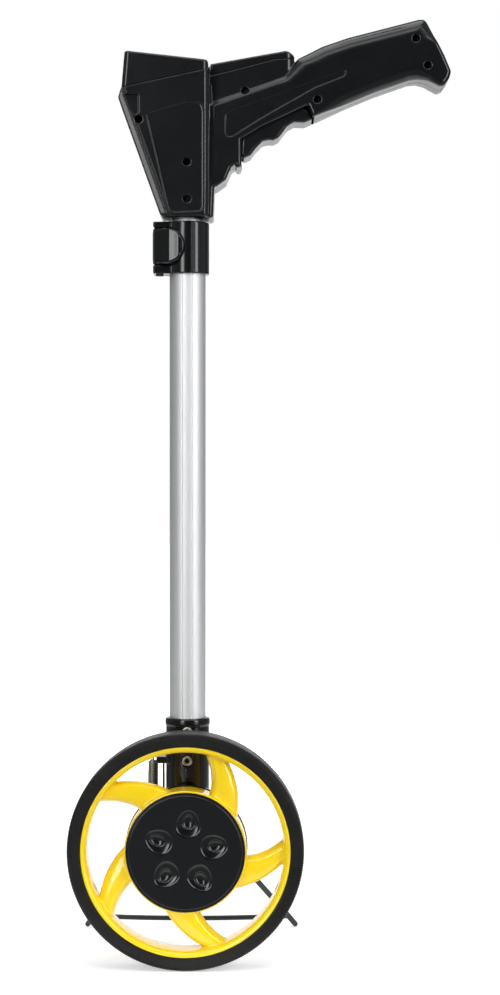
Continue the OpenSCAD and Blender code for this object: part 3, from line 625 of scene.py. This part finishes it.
GRIP = [
    (14, 587), (19.9, 589.3), (39.8, 596.1), (58, 602.5), (66, 606), (70.5, 611.5), (76, 618.5),
    (92.6, 627.3), (110.6, 633.5), (146.7, 642.8), (158.7, 645.9), (162.6, 645.8), (164.7, 643.7),
    (176.7, 619.7), (181.2, 609), (180, 604.6), (176.7, 599.9), (173.6, 598.3), (164.7, 602.9),
    (158.7, 604.1), (152.7, 603.5), (128.6, 595.1), (86, 577.4), (82.6, 585.6), (50.6, 570.5),
    (37.3, 562.4), (37.3, 549.9), (37.5, 547.4), (37, 543.6), (34.4, 542.6), (32.6, 544.8),
    (30.2, 542.8), (26.6, 534.4), (20.5, 529.9), (14, 528),
]
GRIP_RISE = (-0.3482, 0.9374)
GRIP_ROUND = [
    0, 3, 9, 6, 6, 6, 8, 14, 20, 20, 5, 2, 3, 6, 4, 3, 2, 3, 6, 8, 10, 20, 1, 1, 4, 2, 1, 0.8, 0.8, 0.8,
    0.8, 2, 2, 2, 0,
]
GRIP_ROOM = [
    (19, 536), (24.5, 541), (27.5, 547), (32, 551), (33, 563.8), (50, 574), (81.5, 589.2), (90.5, 583),
    (128, 599), (152, 607.4), (160, 608), (171, 603), (176.6, 609), (161, 641), (146, 638.8),
    (110, 629.3), (92, 622), (80, 609), (70, 600), (19, 585),
]
BLOCK = [(10, 575), (10, 640), (82, 640), (82, 600), (74, 592)]
SIDE_PANEL = [
    (-27.3, 577.3), (-1.2, 585), (9.8, 585), (11.6, 580), (11.4, 512.6), (-8.6, 511.6), (-12.6, 514),
]
GRIP_PANEL = [
    (26.6, 579), (30, 581.4), (48, 587.6), (78, 598.6), (104, 607.8), (108.6, 609.6), (108.4, 605.6),
    (88, 597.6), (68, 586.4), (50, 576), (31, 564), (28, 563.8), (26.4, 566),
]
CORNER_POCKET = [(-42.8, 590.3), (-32.4, 590.3), (-32.4, 578.5), (-34.5, 576.5), (-38.2, 580)]
TRIGGER = [
    (36.2, 552), (39.2, 549.9), (43.4, 551.8), (47, 556.6), (51.8, 561.5), (56.6, 562.4), (59, 562),
    (62.6, 563.8), (65, 566.9), (68.6, 571.7), (73.4, 574.6), (80.6, 574.3), (86, 576.6), (84.6, 581.6),
    (80, 585), (76, 584.4), (50, 572.4), (46.6, 574.4), (41.6, 574.8), (37.6, 571.4), (37.2, 564),
]
TRIGGER_ROUND = [2, 1.2, 1.5, 3, 3, 1.2, 1.2, 3, 3, 3, 1.2, 2, 1, 2, 2, 2, 2, 2, 2, 2, 2]
TRIGGER_SLOT = [(35.6, 544), (36, 577), (50, 581), (76, 592), (86, 590.3), (88.4, 570), (60, 550)]
TRIGGER_PIN = (41.6, 570.6)
SHELL_SCREWS = [(-32.6, 573.7), (39.8, 595.6), (89.4, 589.3), (156.9, 631.2), (165, 612.8)]
TUBE_SCREW_Z = (520.8, 545.6)
SCREW_HOLE_R = 2.6
TOP_AT, TOP_TILT = (-42.4, 620), math.radians(6.29)
PACK_AT, PACK_TILT = (18.5, 606.2), math.radians(-14.62)
KEYS_AT, KEY_PITCH = 49.5, 15


def tilted(x, z, at, angle):
    """Places along and out of a surface that starts at a point and dips by an angle."""
    u, w = x - at[0], z - at[1]
    return u * math.cos(angle) - w * math.sin(angle), u * math.sin(angle) + w * math.cos(angle)


def ease(value, start, end):
    t = np.clip((value - start) / (end - start), 0, 1)
    return t * t * (3 - 2 * t)


def head_side(s, z):
    """Distance from the head's leaning side."""
    return (s - FOOT_HALF - (z - 508) * math.tan(LEAN)) * math.cos(LEAN)


def head_body(x, s, z):
    """The head's outside, s being the distance from its middle plane."""
    side = head_side(s, z)
    edge = line(BOX_EDGE[1], BOX_EDGE[0], x, z)
    box = meet(outline(soften(BOX, [2.5, 2, 9, 1, 1, 1, 2]), x, z), side, 0.9 + 2.7 * ease(x, -12, 4))
    box = meet(box, (edge + 4.1) * 0.22 + side * 0.975, 0.5)
    box = cut(box, np.maximum(np.abs(edge + 5.3) - 0.75, -side - 0.8), 0.35)
    panel = outline(soften(SIDE_PANEL, [3, 5, 4, 3, 4, 3, 3]), x, z)
    box = cut(box, np.maximum(panel, -side - 1.0 - 0.2 * np.clip(-panel, 0, 1.2)), 0.55)
    box = cut(box, np.maximum(outline(soften(CORNER_POCKET, 1), x, z), -side - 3.2), 0.5)
    box = meet(box, -line(*CAP_SEAM, x, z), 0.4)
    foot = 507.2 + 0.07 * s - z
    box = meet(box, foot, 2.5)
    spine = meet(meet(outline(soften(SPINE, 2), x, z), s - GRIP_HALF, 3), foot, 2)
    body = join(box, spine, 0.8)
    rise = GRIP_RISE[0] * (x - 30) + GRIP_RISE[1] * (z - 570)
    upper = ease(rise, 4, 13)
    edge_r = 2.6 + upper * (2.6 + 6.0 * ease(x, 56, 92)) + (1 - upper) * 5.0 * ease(x, 90, 110)
    edge_r = edge_r - 4.5 * ease(x, 156, 170)
    grip = meet(outline(soften(GRIP, GRIP_ROUND), x, z), s - GRIP_HALF, edge_r.astype(np.float32))
    inset = outline(soften(GRIP_PANEL, 3), x, z)
    grip = cut(grip, np.maximum(inset, GRIP_HALF - 0.8 - s), 0.5)
    body = join(body, grip, 1.0)
    plan = meet(s - BLOCK_HALF, x - 73.9, 6.5)
    block = meet(outline(BLOCK, x, z), plan, 0.3)
    block = meet(block, -np.minimum(line(*LID_SEAM[:2], x, z), line(*LID_SEAM[1:], x, z)), 0.4)
    body = join(body, block, 0.7)
    return np.minimum(body, block_of(x, s, z, (14.9, 15.75), (-9, BLOCK_HALF - 0.4), (598, 612.4), 0.3))


def head_room(x, s, z):
    """The hollow inside the head, less its screw bosses and the post round the pole."""
    room = meet(outline(BOX_ROOM, x, z), head_side(s, z) + WALL, 1.5)
    post = np.maximum(np.hypot(x, s) - 14, z - 554)
    room = np.maximum(room, -post)
    room = np.minimum(room, meet(outline(GRIP_ROOM, x, z), s - GRIP_HALF + WALL, 1))
    for at in SHELL_SCREWS:
        room = np.maximum(room, -drill(x, z, at, 3.9))
    room = np.minimum(room, np.maximum(outline(TRIGGER_SLOT, x, z), s - SLOT_HALF))
    along, out = tilted(x, z, PACK_AT, PACK_TILT)
    pack = np.maximum(np.maximum(np.abs(along - 23.35) - 23.35, s - 11.6), -11.2 - out)
    room = np.minimum(room, pack)
    return np.minimum(room, np.maximum(np.hypot(x, s) - 10.5, z - 556))


def shell_pieces():
    """The two half shells, meshed from one field and its mirror image."""
    low = np.array([SHELL_LOW[0] - 1, -0.6, SHELL_LOW[2] - 1])
    high = np.array([SHELL_HIGH[0] + 1, POLE_Y - SHELL_LOW[1] + 1, SHELL_HIGH[2] + 1])
    x, s, z = axes(low, high, HEAD_STEP)
    body = cut(head_body(x, s, z), head_room(x, s, z), 0.25)
    for at in SHELL_SCREWS:
        body = np.maximum(body, -drill(x, z, at, 1.4))
    body = meet(body, 0.05 - s, 0.12)
    front = body
    holes = [(at, 8) for at in SHELL_SCREWS] + [((0, level), 12.4) for level in TUBE_SCREW_Z]
    for at, bottom in holes:
        front = cut(front, np.maximum(drill(x, z, at, SCREW_HOLE_R), bottom - s), 0.45)
    for name, field, way in (("front", front, -1), ("back", body, 1)):
        points, faces = skin(field.astype(np.float32), low, HEAD_STEP)
        points[:, 1] = POLE_Y + way * points[:, 1]
        node = f"head_shell_{name}"
        piece(f"{node}_moulded", points, faces, "head", [node], "head_plastic")


def cap_field(x, y, z):
    """The display hood: plan corners rounded, a stepped window opening and three button holes."""
    s = np.abs(y - POLE_Y)
    half = (CAP_HIGH[1] - CAP_LOW[1]) / 2
    plan = meet(s - half, x - CAP_HIGH[0], 4.2)
    plan = meet(plan, line((-42.3, 618), (-44.15, 594.8), x, z), 3.4)
    top = [(-48, 580), (18, 580), (18, 613.35), (13, 613.9), (-40.4, 619.8), (-43, 620)]
    body = meet(outline(soften(top, 0.5), x, z), plan, 1.7)
    body = meet(body, line(*CAP_SEAM, x, z) + 0.1, 0.4)
    room = [(-43.6, 590), (12.4, 601), (12.4, 611.4), (-39.9, 617)]
    body = np.maximum(body, -np.maximum(outline(room, x, z), s - half + WALL))
    along, out = tilted(x, z, TOP_AT, TOP_TILT)
    frame_cut = np.maximum(np.maximum(np.abs(along - 24) - 19, s - 23), -1.6 - out)
    body = cut(body, frame_cut, 0.4)
    body = np.maximum(body, -np.maximum(np.maximum(np.abs(along - 24) - 17, s - 21), -7 - out))
    for i in (-1, 0, 1):
        hole = np.hypot(along - KEYS_AT, y - POLE_Y - KEY_PITCH * i) - 4.3
        body = cut(body, np.maximum(hole, -9 - out), 0.4)
    return body


def lid_field(x, y, z):
    s = np.abs(y - POLE_Y)
    plan = meet(s - BLOCK_HALF, x - LID_HIGH[0], 6.5)
    top = [(LID_LOW[0], 590), (90, 590), (90, 619), (72.9, 621.2), (68.5, 623.5), (LID_LOW[0], 614.1)]
    body = meet(outline(soften(top, [0, 0, 0, 3, 6, 1]), x, z), plan, 1.5)
    seam = np.minimum(line(*LID_SEAM[:2], x, z), line(*LID_SEAM[1:], x, z)) + 0.15
    body = meet(body, seam, 0.4)
    along, out = tilted(x, z, PACK_AT, PACK_TILT)
    pocket = np.maximum(np.maximum(np.abs(along - 24) - 21, s - 11), out - 1.8)
    finger = np.hypot(np.hypot(x - 60, s * 0.55), z - 634) - 13.6
    return cut(np.maximum(body, -pocket), finger, 0.6)


def trigger_field(x, y, z):
    body = meet(outline(soften(TRIGGER, TRIGGER_ROUND), x, z), np.abs(y - POLE_Y) - TRIGGER_HALF, 2.4)
    return np.maximum(body, -drill(x, z, TRIGGER_PIN, 1.55))


def button_field(i):
    def field(x, y, z):
        along, out = tilted(x, z, TOP_AT, TOP_TILT)
        r = np.hypot(along - KEYS_AT, y - POLE_Y - KEY_PITCH * i)
        stem = meet(r - 4, np.abs(out + 2.2) - 3.2, 0.55)
        flange = np.maximum(r - 5.1, np.abs(out + 3.75) - 0.45)
        dish = np.sqrt(r**2 + (out - 12.7) ** 2) - 12
        return cut(join(stem, flange, 0.2), dish, 0.3)

    return field


def head_pieces():
    shell_pieces()
    moulded("display_cap", cap_field, COVERS_STEP, "head", "head_plastic")
    moulded("battery_cover", lid_field, COVERS_STEP, "battery_lid", "head_plastic")
    moulded("trigger", trigger_field, COVERS_STEP, "trigger", "head_plastic")
    for i, name, slot in ((-1, "reset", "red_key"), (0, "mode", "grey_key"), (1, "power", "grey_key")):
        moulded(f"{name}_button", button_field(i), KEY_STEP, f"{name}_key", slot)


# ---- clamp and bracket ----

COLLAR_R = COLLAR_HIGH[0]
LEVER_AT = ((PIN_LOW[0] + PIN_HIGH[0]) / 2, (PIN_LOW[1] + PIN_HIGH[1]) / 2)
PADDLE_Z = ((LEVER_LOW[2] + LEVER_HIGH[2]) / 2, (LEVER_HIGH[2] - LEVER_LOW[2]) / 2)


def collar_field(x, y, z):
    bottom, top = COLLAR_LOW[2], COLLAR_HIGH[2]
    middle, half = PADDLE_Z[0], PADDLE_Z[1] + 0.5
    r = np.hypot(x, y - POLE_Y)
    body = meet(r - COLLAR_R, slab(z, bottom, top), 0.9)
    rear = block_of(x, y, z, (COLLAR_LOW[0], -11), (POLE_Y + 1, POLE_Y + 6.5), (bottom, top), 0.9)
    body = join(body, rear, 1.2)
    front = (LEVER_AT[1] - 4.5, POLE_Y - 1)
    for zs in ((bottom, middle - half), (middle + half, top)):
        body = join(body, block_of(x, y, z, (COLLAR_LOW[0], -11), front, zs, 0.9), 1.2)
    body = np.maximum(body, np.where(z < TUBE_HIGH[2] + 0.5, TUBE_R, TUBE_R - 1.9) - r)
    body = cut(body, np.maximum(slab(y, POLE_Y - 1, POLE_Y + 1), x + 4), 0.3)
    turn = np.degrees(np.arctan2(x, POLE_Y - y))
    for at in (13.0, 19.0):
        body = cut(body, np.maximum(np.abs(turn - at) * 0.26 - 0.35, COLLAR_R - 0.5 - r), 0.2)
    return np.maximum(body, -drill(x, y, LEVER_AT, 1.6))


LEVER_FACE = [
    (-23.5, 32), (-22.8, 27.7), (-12.5, 22.1), (-5, 20.6), (-5, 24), (-13, 30), (-18, 36.1),
    (-22.3, 35.4),
]


def lever_field(x, y, z):
    """A cam barrel with a paddle that wraps the collar; its face is a disc cut off at the barrel."""
    middle, nose = PADDLE_Z
    r = np.hypot(x, y - POLE_Y)
    barrel = meet(drill(x, y, LEVER_AT, 4.7), np.abs(z - middle) - nose, 1.2)
    tip = LEVER_HIGH[0] - nose
    squash = np.where(x > tip, x - tip, 0.6 * (x - tip))
    disc = np.hypot(squash, z - middle) - nose
    inner = COLLAR_R + 0.4
    paddle = np.maximum(inner - r, y - LEVER_AT[1])
    paddle = meet(paddle, meet(r - inner - 2.9, disc, 2.2), 0.3)
    face = meet(outline(soften(LEVER_FACE, [1, 2, 5, 1, 1, 1, 1, 1]), x, y), disc, 2.2)
    body = join(join(barrel, np.maximum(paddle, LEVER_LOW[0] - x), 1.0), face, 1.2)
    body = np.maximum(body, inner - 0.1 - r)
    return np.maximum(body, -drill(x, y, LEVER_AT, 1.65))


SOCKET_R = 15
SOCKET_TOP = BRACKET_HIGH[2]
SOCKET_SCREW_Z = (SOCKET_TOP - 28.6, SOCKET_TOP - 8.6)
BOSS_BACK = POLE_Y + 7.5
DISC_BACK = box_mm("sensor_disc")[1][1]
LUG_Z = PIVOT_Z + 33.4
SPRING_PIN = (PIVOT_Y, PIVOT_Z + 35.8)
SHAFT_HOLE_R = 3.05


def bracket_field(x, y, z):
    """Pole socket, axle boss, rear yoke for the stand and side lug for its spring, in one moulding."""
    r = np.hypot(x, y - POLE_Y)
    socket = meet(r - SOCKET_R, slab(z, PIVOT_Z - 8, SOCKET_TOP), 1.4)
    bead = meet(r - SOCKET_R - 0.45, slab(z, SOCKET_TOP - 5.5, SOCKET_TOP), 1.6)
    boss = meet(np.hypot(x, z - AXLE_Z) - 16, slab(y, DISC_BACK, BOSS_BACK), 0.9)
    web = block_of(x, y, z, (-13, 13), (DISC_BACK + 3, BOSS_BACK), (AXLE_Z, TUBE_LOW[2] + 2), 1.5)
    body = join(join(bead, socket, 0.6), join(boss, web, 2.5), 3.0)
    rib = block_of(x, y, z, (-0.55, 0.55), (POLE_Y - SOCKET_R - 0.45, POLE_Y), (124, 130), 0.3)
    body = join(body, np.maximum(rib, BRACKET_LOW[1] - y), 0.4)
    shaft = np.hypot(y - PIVOT_Y, z - PIVOT_Z)
    ear = np.minimum(shaft - 7, np.maximum(slab(y, POLE_Y, PIVOT_Y), np.abs(z - PIVOT_Z) - 7))
    for xs in ((-16.5, -13), (13, 16.5)):
        body = join(body, meet(ear, slab(x, *xs), 0.9), 1.5)
    bridge = block_of(x, y, z, (-14, 14), (POLE_Y, POLE_Y + 10.5), (PIVOT_Z - 7, PIVOT_Z + 7), 0.9)
    body = join(body, bridge, 1.5)
    lug = block_of(x, y, z, (-21.5, -12), (31, PIVOT_Y + 3), (LUG_Z, LUG_Z + 4.8), 0.9)
    body = join(body, lug, 1.2)
    pin = meet(drill(y, z, SPRING_PIN, 1.6), slab(x, BRACKET_LOW[0], -20), 0.4)
    body = join(body, pin, 0.4)
    body = np.maximum(body, -np.maximum(r - TUBE_R, TUBE_LOW[2] - z))
    body = np.maximum(body, 4.0 - np.hypot(x, z - AXLE_Z))
    body = np.maximum(body, np.maximum(SHAFT_HOLE_R - shaft, 0) + np.where(shaft < SHAFT_HOLE_R, 0.1, -9))
    body = np.maximum(body, -np.maximum(shaft - 6.3, np.abs(x) - 13))
    for level in SOCKET_SCREW_Z:
        hole = np.hypot(x, z - level)
        body = cut(body, np.maximum(hole - 3.9, y - POLE_Y + SOCKET_R - 0.8), 0.3)
        body = np.maximum(body, -np.maximum(hole - 1.9, y - POLE_Y))
    return body


def upright(points_faces):
    """Stands a shape turned about the axle's direction up on the pole's axis."""
    points, faces = points_faces
    return np.stack([points[:, 0], POLE_Y + points[:, 2], points[:, 1]], 1), faces


GROOVE_AT = 16.4


def tube_piece():
    """The outer tube, drawn with two fine grooves down its front."""
    wall, chamfer = 1.2, 0.25
    inner = TUBE_R - wall
    low, high = TUBE_LOW[2], TUBE_HIGH[2]
    levels = [low + chamfer, *np.linspace(low + 8, high - 8, 40), high - chamfer]
    profile = [(inner + chamfer, low), (TUBE_R - chamfer, low)] + [(TUBE_R, h) for h in levels]
    profile += [(TUBE_R - chamfer, high), (inner + chamfer, high)]
    profile += [(inner, high - chamfer), (inner, low + chamfer)]

    def grooves(angle, radius, _):
        turn = np.degrees(angle) - 270
        near = np.minimum(np.abs(turn - GROOVE_AT), np.abs(turn + GROOVE_AT))
        return -0.35 * np.clip(1.7 - near, 0, 1) * (radius > TUBE_R - 0.5)

    points, faces = upright(lathe(profile, 720, (0, 0), grooves))
    piece("outer_tube_drawn", points, faces, "frame", ["outer_tube"], "aluminium")


def rivet_pieces():
    """Hollow rivets through the socket: a rolled rim round a bore, with a dark plug deep in the bore as
    painted shade.
    """
    seat = POLE_Y - SOCKET_R + 0.8
    for i, level in enumerate(SOCKET_SCREW_Z):
        profile = [
            (1.55, seat + 5), (1.6, seat - 0.8), (1.75, seat - 1.3), (2.0, seat - 1.7),
            (2.4, seat - 1.9), (2.9, seat - 1.8), (3.3, seat - 1.4), (3.5, seat - 0.8), (3.5, seat),
            (1.9, seat), (1.9, seat + 5),
        ]
        points, faces = lathe(profile, 48, (0, level))
        piece(f"socket_rivet_{i + 1}", points, faces, "frame", ["socket_screws"], "steel")
        # Painted shade: a dark steel plug deep in the bore stands for the shade inside the hollow rivet.
        shade_plug = [(0.02, seat + 4), (0.02, seat + 0.4), (1.4, seat + 0.3), (1.54, seat + 0.6), (1.54, seat + 4)]
        points, faces = lathe(shade_plug, 32, (0, level))
        piece(f"socket_rivet_core_{i + 1}", points, faces, "frame", ["socket_screws"], "steel", "dark_steel")


# ---- stand ----

LEG_ROOT_X, WIRE_R, BAR_R, BAR_AT = 4, 2, 1.8, 0.93
# The legs bow forward, so that they pass behind the spring when they fold up
LEG_BOW = -8.5
FOOT_LOW, FOOT_HIGH = box_mm("stand_leg_right")
FOOT = np.array([FOOT_HIGH[0] - WIRE_R, FOOT_HIGH[1] - WIRE_R, FOOT_LOW[2] + WIRE_R])
LEG_ROOT = np.array([LEG_ROOT_X, PIVOT_Y, PIVOT_Z])
CRANK_ANGLE, CRANK_R = math.radians(201), 12
CRANK_PIN = (PIVOT_Y + CRANK_R * math.cos(CRANK_ANGLE), PIVOT_Z + CRANK_R * math.sin(CRANK_ANGLE))
SPRING_LOW, SPRING_HIGH = box_mm("stand_spring")
SPRING_X = (SPRING_LOW[0] + SPRING_HIGH[0]) / 2


def stand_pieces():
    for side, name in ((-1, "stand_leg_left"), (1, "stand_leg_right")):
        flip = np.array([side, 1, 1])
        path = [
            (LEG_ROOT + (FOOT - LEG_ROOT) * t + (0, LEG_BOW * 6.75 * t * (1 - t) ** 2, 0)) * flip
            for t in np.linspace(0, 1, 24)
        ]
        way = (FOOT - LEG_ROOT) * flip
        path[-1] = path[-1] + way / np.linalg.norm(way) * WIRE_R
        points, faces = sweep(path, WIRE_R, 28)
        piece(f"{name}_wire", points, faces, "stand", [name], "coated_wire")
    end = LEG_ROOT + BAR_AT * (FOOT - LEG_ROOT)
    path = [(end[0] * t, end[1], end[2] - 1.6 * (1 - t * t)) for t in np.linspace(-1, 1, 33)]
    points, faces = sweep(path, BAR_R, 24, round_ends=False)
    piece("stand_crossbar_wire", points, faces, "stand", ["stand_crossbar"], "coated_wire")


def spring_piece():
    """The close-wound tension spring between the lug's pin and the crank's pin."""
    low, high = np.array(CRANK_PIN), np.array(SPRING_PIN)
    length = np.linalg.norm(high - low)
    out = (high - low) / length
    back = np.array([out[1], -out[0]])
    eye, coil_r, turns, wire = 2.6, 3.2, 27, 0.6
    path = [(0, -eye * math.sin(a), eye * math.cos(a)) for a in np.radians(np.arange(-300, -15, 12))]
    start, total = eye + 0.6, turns * 2 * math.pi
    for a in np.linspace(0, total, turns * 18 + 1):
        r = coil_r * min(1, a / math.pi, (total - a) / math.pi)
        h = start + (length - 2 * start) * a / total
        path.append((r * math.cos(a - math.pi / 2), r * math.sin(a - math.pi / 2), h))
    path += [(0, eye * math.sin(a), length - eye * math.cos(a)) for a in np.radians(np.arange(18, 301, 12))]
    placed = [(SPRING_X + x, *(low + out * h + back * v)) for x, v, h in path]
    points, faces = sweep(placed, wire, 8)
    piece("stand_spring_wound", points, faces, "spring", ["stand_spring"], "spring_steel")


def trigger_spring_piece():
    """The return spring over the trigger, held at its top, which the trigger presses shorter as it comes up;
    the coil is drawn at one length.
    """
    low, high = (np.array(corner) for corner in box_mm("trigger_spring"))
    wire, turns, flat = 0.4, 8, 1.5
    middle, reach = (low + high) / 2, (high[0] - low[0]) / 2 - wire
    rise = high[2] - low[2] - 2 * wire
    end, total = math.pi * flat, turns * 2 * math.pi
    path = []
    for a in np.linspace(0, total, turns * 24 + 1):
        t = min(max((a - end) / (total - 2 * end), 0), 1)
        x, y = middle[0] + reach * math.cos(a), middle[1] + reach * math.sin(a)
        path.append((x, y, low[2] + wire + rise * t))
    points, faces = sweep(path, wire, 8)
    obj = piece("trigger_spring_wound", points, faces, "head", ["trigger_spring"], "spring_steel")
    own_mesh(obj)


CLAMP_STEP = 0.3
head_pieces()
moulded("clamp_collar", collar_field, CLAMP_STEP, "frame", "black_plastic")
moulded("clamp_lever", lever_field, CLAMP_STEP, "lever", "black_plastic")
moulded("wheel_bracket", bracket_field, CLAMP_STEP + 0.1, "frame", "black_plastic")
tube_piece()
rivet_pieces()
stand_pieces()
spring_piece()
trigger_spring_piece()


# ---- carried-over CAD nodes ----

# Painted shade: the shell and tube screws are drawn in dark steel to stand for the shade in the deep holes
# they sit in; the clamp pin is drawn in the same dark steel.
DARKENED_NODES = ("shell_screws", "tube_screws", "clamp_pin")
SLOT_OF = {part["node"]: part["material_slot"] for part in frame["record"]["subparts"]}
for name, node in frame["nodes"].items():
    if node.hide_render:
        continue
    slot = SLOT_OF[name]
    node.data.materials.clear()
    node.data.materials.append(FINISHES["dark_steel" if name in DARKENED_NODES else slot])
    node.data.shade_smooth()


# ---- stage, light and camera ----


def lamp(name, at, aim, size, energy):
    data = bpy.data.lights.new(name, "AREA")
    data.shape = "RECTANGLE"
    data.size, data.size_y = size
    data.energy = energy
    obj = bpy.data.objects.new(name, data)
    bpy.context.scene.collection.objects.link(obj)
    obj.location = at
    obj.rotation_euler = (Vector(aim) - Vector(at)).to_track_quat("-Z", "Y").to_euler()


VIEW_X, VIEW_HALF, VIEW_TOP, VIEW_NEAR = 0.04, 0.43, 1.15, -0.07
FLOOR_HALF, WALL_HALF, PAPER_GLOW = 12.0, 4.0, 0.48


def paper(name):
    """Pale paper that glows behind the object and is plain grey beyond it."""
    made = Finish(name, Roughness=0.9)
    at = made.node("ShaderNodeSeparateXYZ", {"Vector": made.place}).outputs
    aside = made.node("ShaderNodeMath", {0: at["X"], 1: VIEW_X}, operation="SUBTRACT").outputs[0]
    aside = made.node("ShaderNodeMath", {0: aside}, operation="ABSOLUTE").outputs[0]
    seen = made.span(aside, 1.0, 0.0, VIEW_HALF, VIEW_HALF + 0.15)
    for factor, start, end in ((at["Z"], VIEW_TOP + 0.2, VIEW_TOP), (at["Y"], VIEW_NEAR - 0.05, VIEW_NEAR)):
        edge = made.span(factor, 0.0, 1.0, start, end)
        seen = made.node("ShaderNodeMath", {0: seen, 1: edge}, operation="MULTIPLY").outputs[0]
    pale = made.mix(made.noise(0.4, 2), (0.86, 0.86, 0.86), (0.88, 0.88, 0.88))
    beyond = made.mix(made.span(at["Y"], 0.0, 1.0, -0.3, 0.3), (0.16, 0.16, 0.165), (0.42, 0.42, 0.43))
    made.set("Emission_Color", (1.0, 1.0, 1.0))
    return made, seen, pale, beyond


def stage_object(name, profile, half, material):
    points = [(x, y, z) for y, z in profile for x in (-half, half)]
    faces = [(2 * i, 2 * i + 1, 2 * i + 3, 2 * i + 2) for i in range(len(profile) - 1)]
    mesh = bpy.data.meshes.new(name)
    mesh.from_pydata(points, [], faces)
    mesh.shade_smooth()
    mesh.materials.append(material)
    obj = bpy.data.objects.new(name, mesh)
    bpy.context.scene.collection.objects.link(obj)
    return obj


def make_backdrop():
    """A pale floor fading into white, and a wall that only lights the object and is never seen itself."""
    made, seen, pale, beyond = paper("floor_paper")
    direct = made.node("ShaderNodeLightPath", {}).outputs["Is Camera Ray"]
    away = made.node("ShaderNodeVectorMath", {0: made.place}, operation="LENGTH").outputs["Value"]
    glow = made.span(away, PAPER_GLOW, 1.0, 0.45, 1.0)
    made.set("Base_Color", made.mix(direct, made.mix(seen, beyond, pale), pale))
    made.set("Emission_Strength", made.mix(direct, made.span(seen, 0.0, PAPER_GLOW, 0.0, 1.0), glow))
    stage_object("floor", [(-FLOOR_HALF, 0.0), (FLOOR_HALF, 0.0)], FLOOR_HALF, made.material)
    made, seen, pale, beyond = paper("wall_paper")
    made.set("Base_Color", made.mix(seen, beyond, pale))
    made.set("Emission_Strength", made.span(seen, 0.0, PAPER_GLOW, 0.0, 1.0))
    profile = [(0.9 + 0.6 * math.sin(a), 0.6 - 0.6 * math.cos(a)) for a in np.radians(np.arange(6, 91, 6))]
    wall = stage_object("wall", profile + [(1.5, 4.0)], WALL_HALF, made.material)
    wall.visible_camera = False


def make_world():
    """Dark behind the camera, grey to the sides and above, and white where it is looked at directly."""
    world = bpy.data.worlds.new("studio")
    world.use_nodes = True
    tree = world.node_tree
    new, link = tree.nodes.new, tree.links.new
    place = new("ShaderNodeTexCoord")
    split = new("ShaderNodeSeparateXYZ")
    shade = new("ShaderNodeMapRange")
    for key, value in (("From Min", -0.95), ("From Max", -0.1), ("To Min", 0.026), ("To Max", 0.36)):
        shade.inputs[key].default_value = value
    link(place.outputs["Generated"], split.inputs[0])
    link(split.outputs["Y"], shade.inputs["Value"])
    link(shade.outputs[0], tree.nodes["Background"].inputs["Strength"])
    tint = new("ShaderNodeValToRGB")
    tint.color_ramp.elements[0].color = (0.9, 1.0, 0.95, 1)
    tint.color_ramp.elements[1].color = (0.92, 0.93, 1.0, 1)
    across = new("ShaderNodeMapRange")
    across.inputs["From Min"].default_value = -1.0
    link(split.outputs["X"], across.inputs["Value"])
    link(across.outputs[0], tint.inputs[0])
    link(tint.outputs[0], tree.nodes["Background"].inputs["Color"])
    white = new("ShaderNodeBackground")
    white.inputs["Color"].default_value = (1, 1, 1, 1)
    chosen = new("ShaderNodeMixShader")
    link(new("ShaderNodeLightPath").outputs["Is Camera Ray"], chosen.inputs["Fac"])
    link(tree.nodes["Background"].outputs[0], chosen.inputs[1])
    link(white.outputs[0], chosen.inputs[2])
    link(chosen.outputs[0], tree.nodes["World Output"].inputs["Surface"])
    bpy.context.scene.world = world


CAMERA_AT, LENS = (0.0432, -1.3325, 0.3167), 71.6


def make_camera():
    data = bpy.data.cameras.new("camera")
    data.sensor_fit, data.sensor_width, data.lens = "AUTO", 36.0, LENS
    obj = bpy.data.objects.new("camera", data)
    bpy.context.scene.collection.objects.link(obj)
    obj.location = CAMERA_AT
    obj.rotation_euler = (math.pi / 2, 0, 0)
    bpy.context.scene.camera = obj


make_backdrop()
make_camera()
lamp("overhead", (0.05, 0.1, 1.8), (0.05, 0, 0.3), (1.4, 1.2), 11)
lamp("front_top", (0.1, -1.0, 1.75), (0.04, 0, 0.35), (1.6, 0.5), 6)
lamp("left_strip", (-0.72, -1.5, 0.62), (0, 0, 0.33), (0.42, 1.8), 16.5)
lamp("right_strip", (1.27, -1.1, 0.62), (0, 0, 0.33), (0.5, 1.8), 18.5)
make_world()
bpy.context.scene.view_settings.view_transform = "Standard"
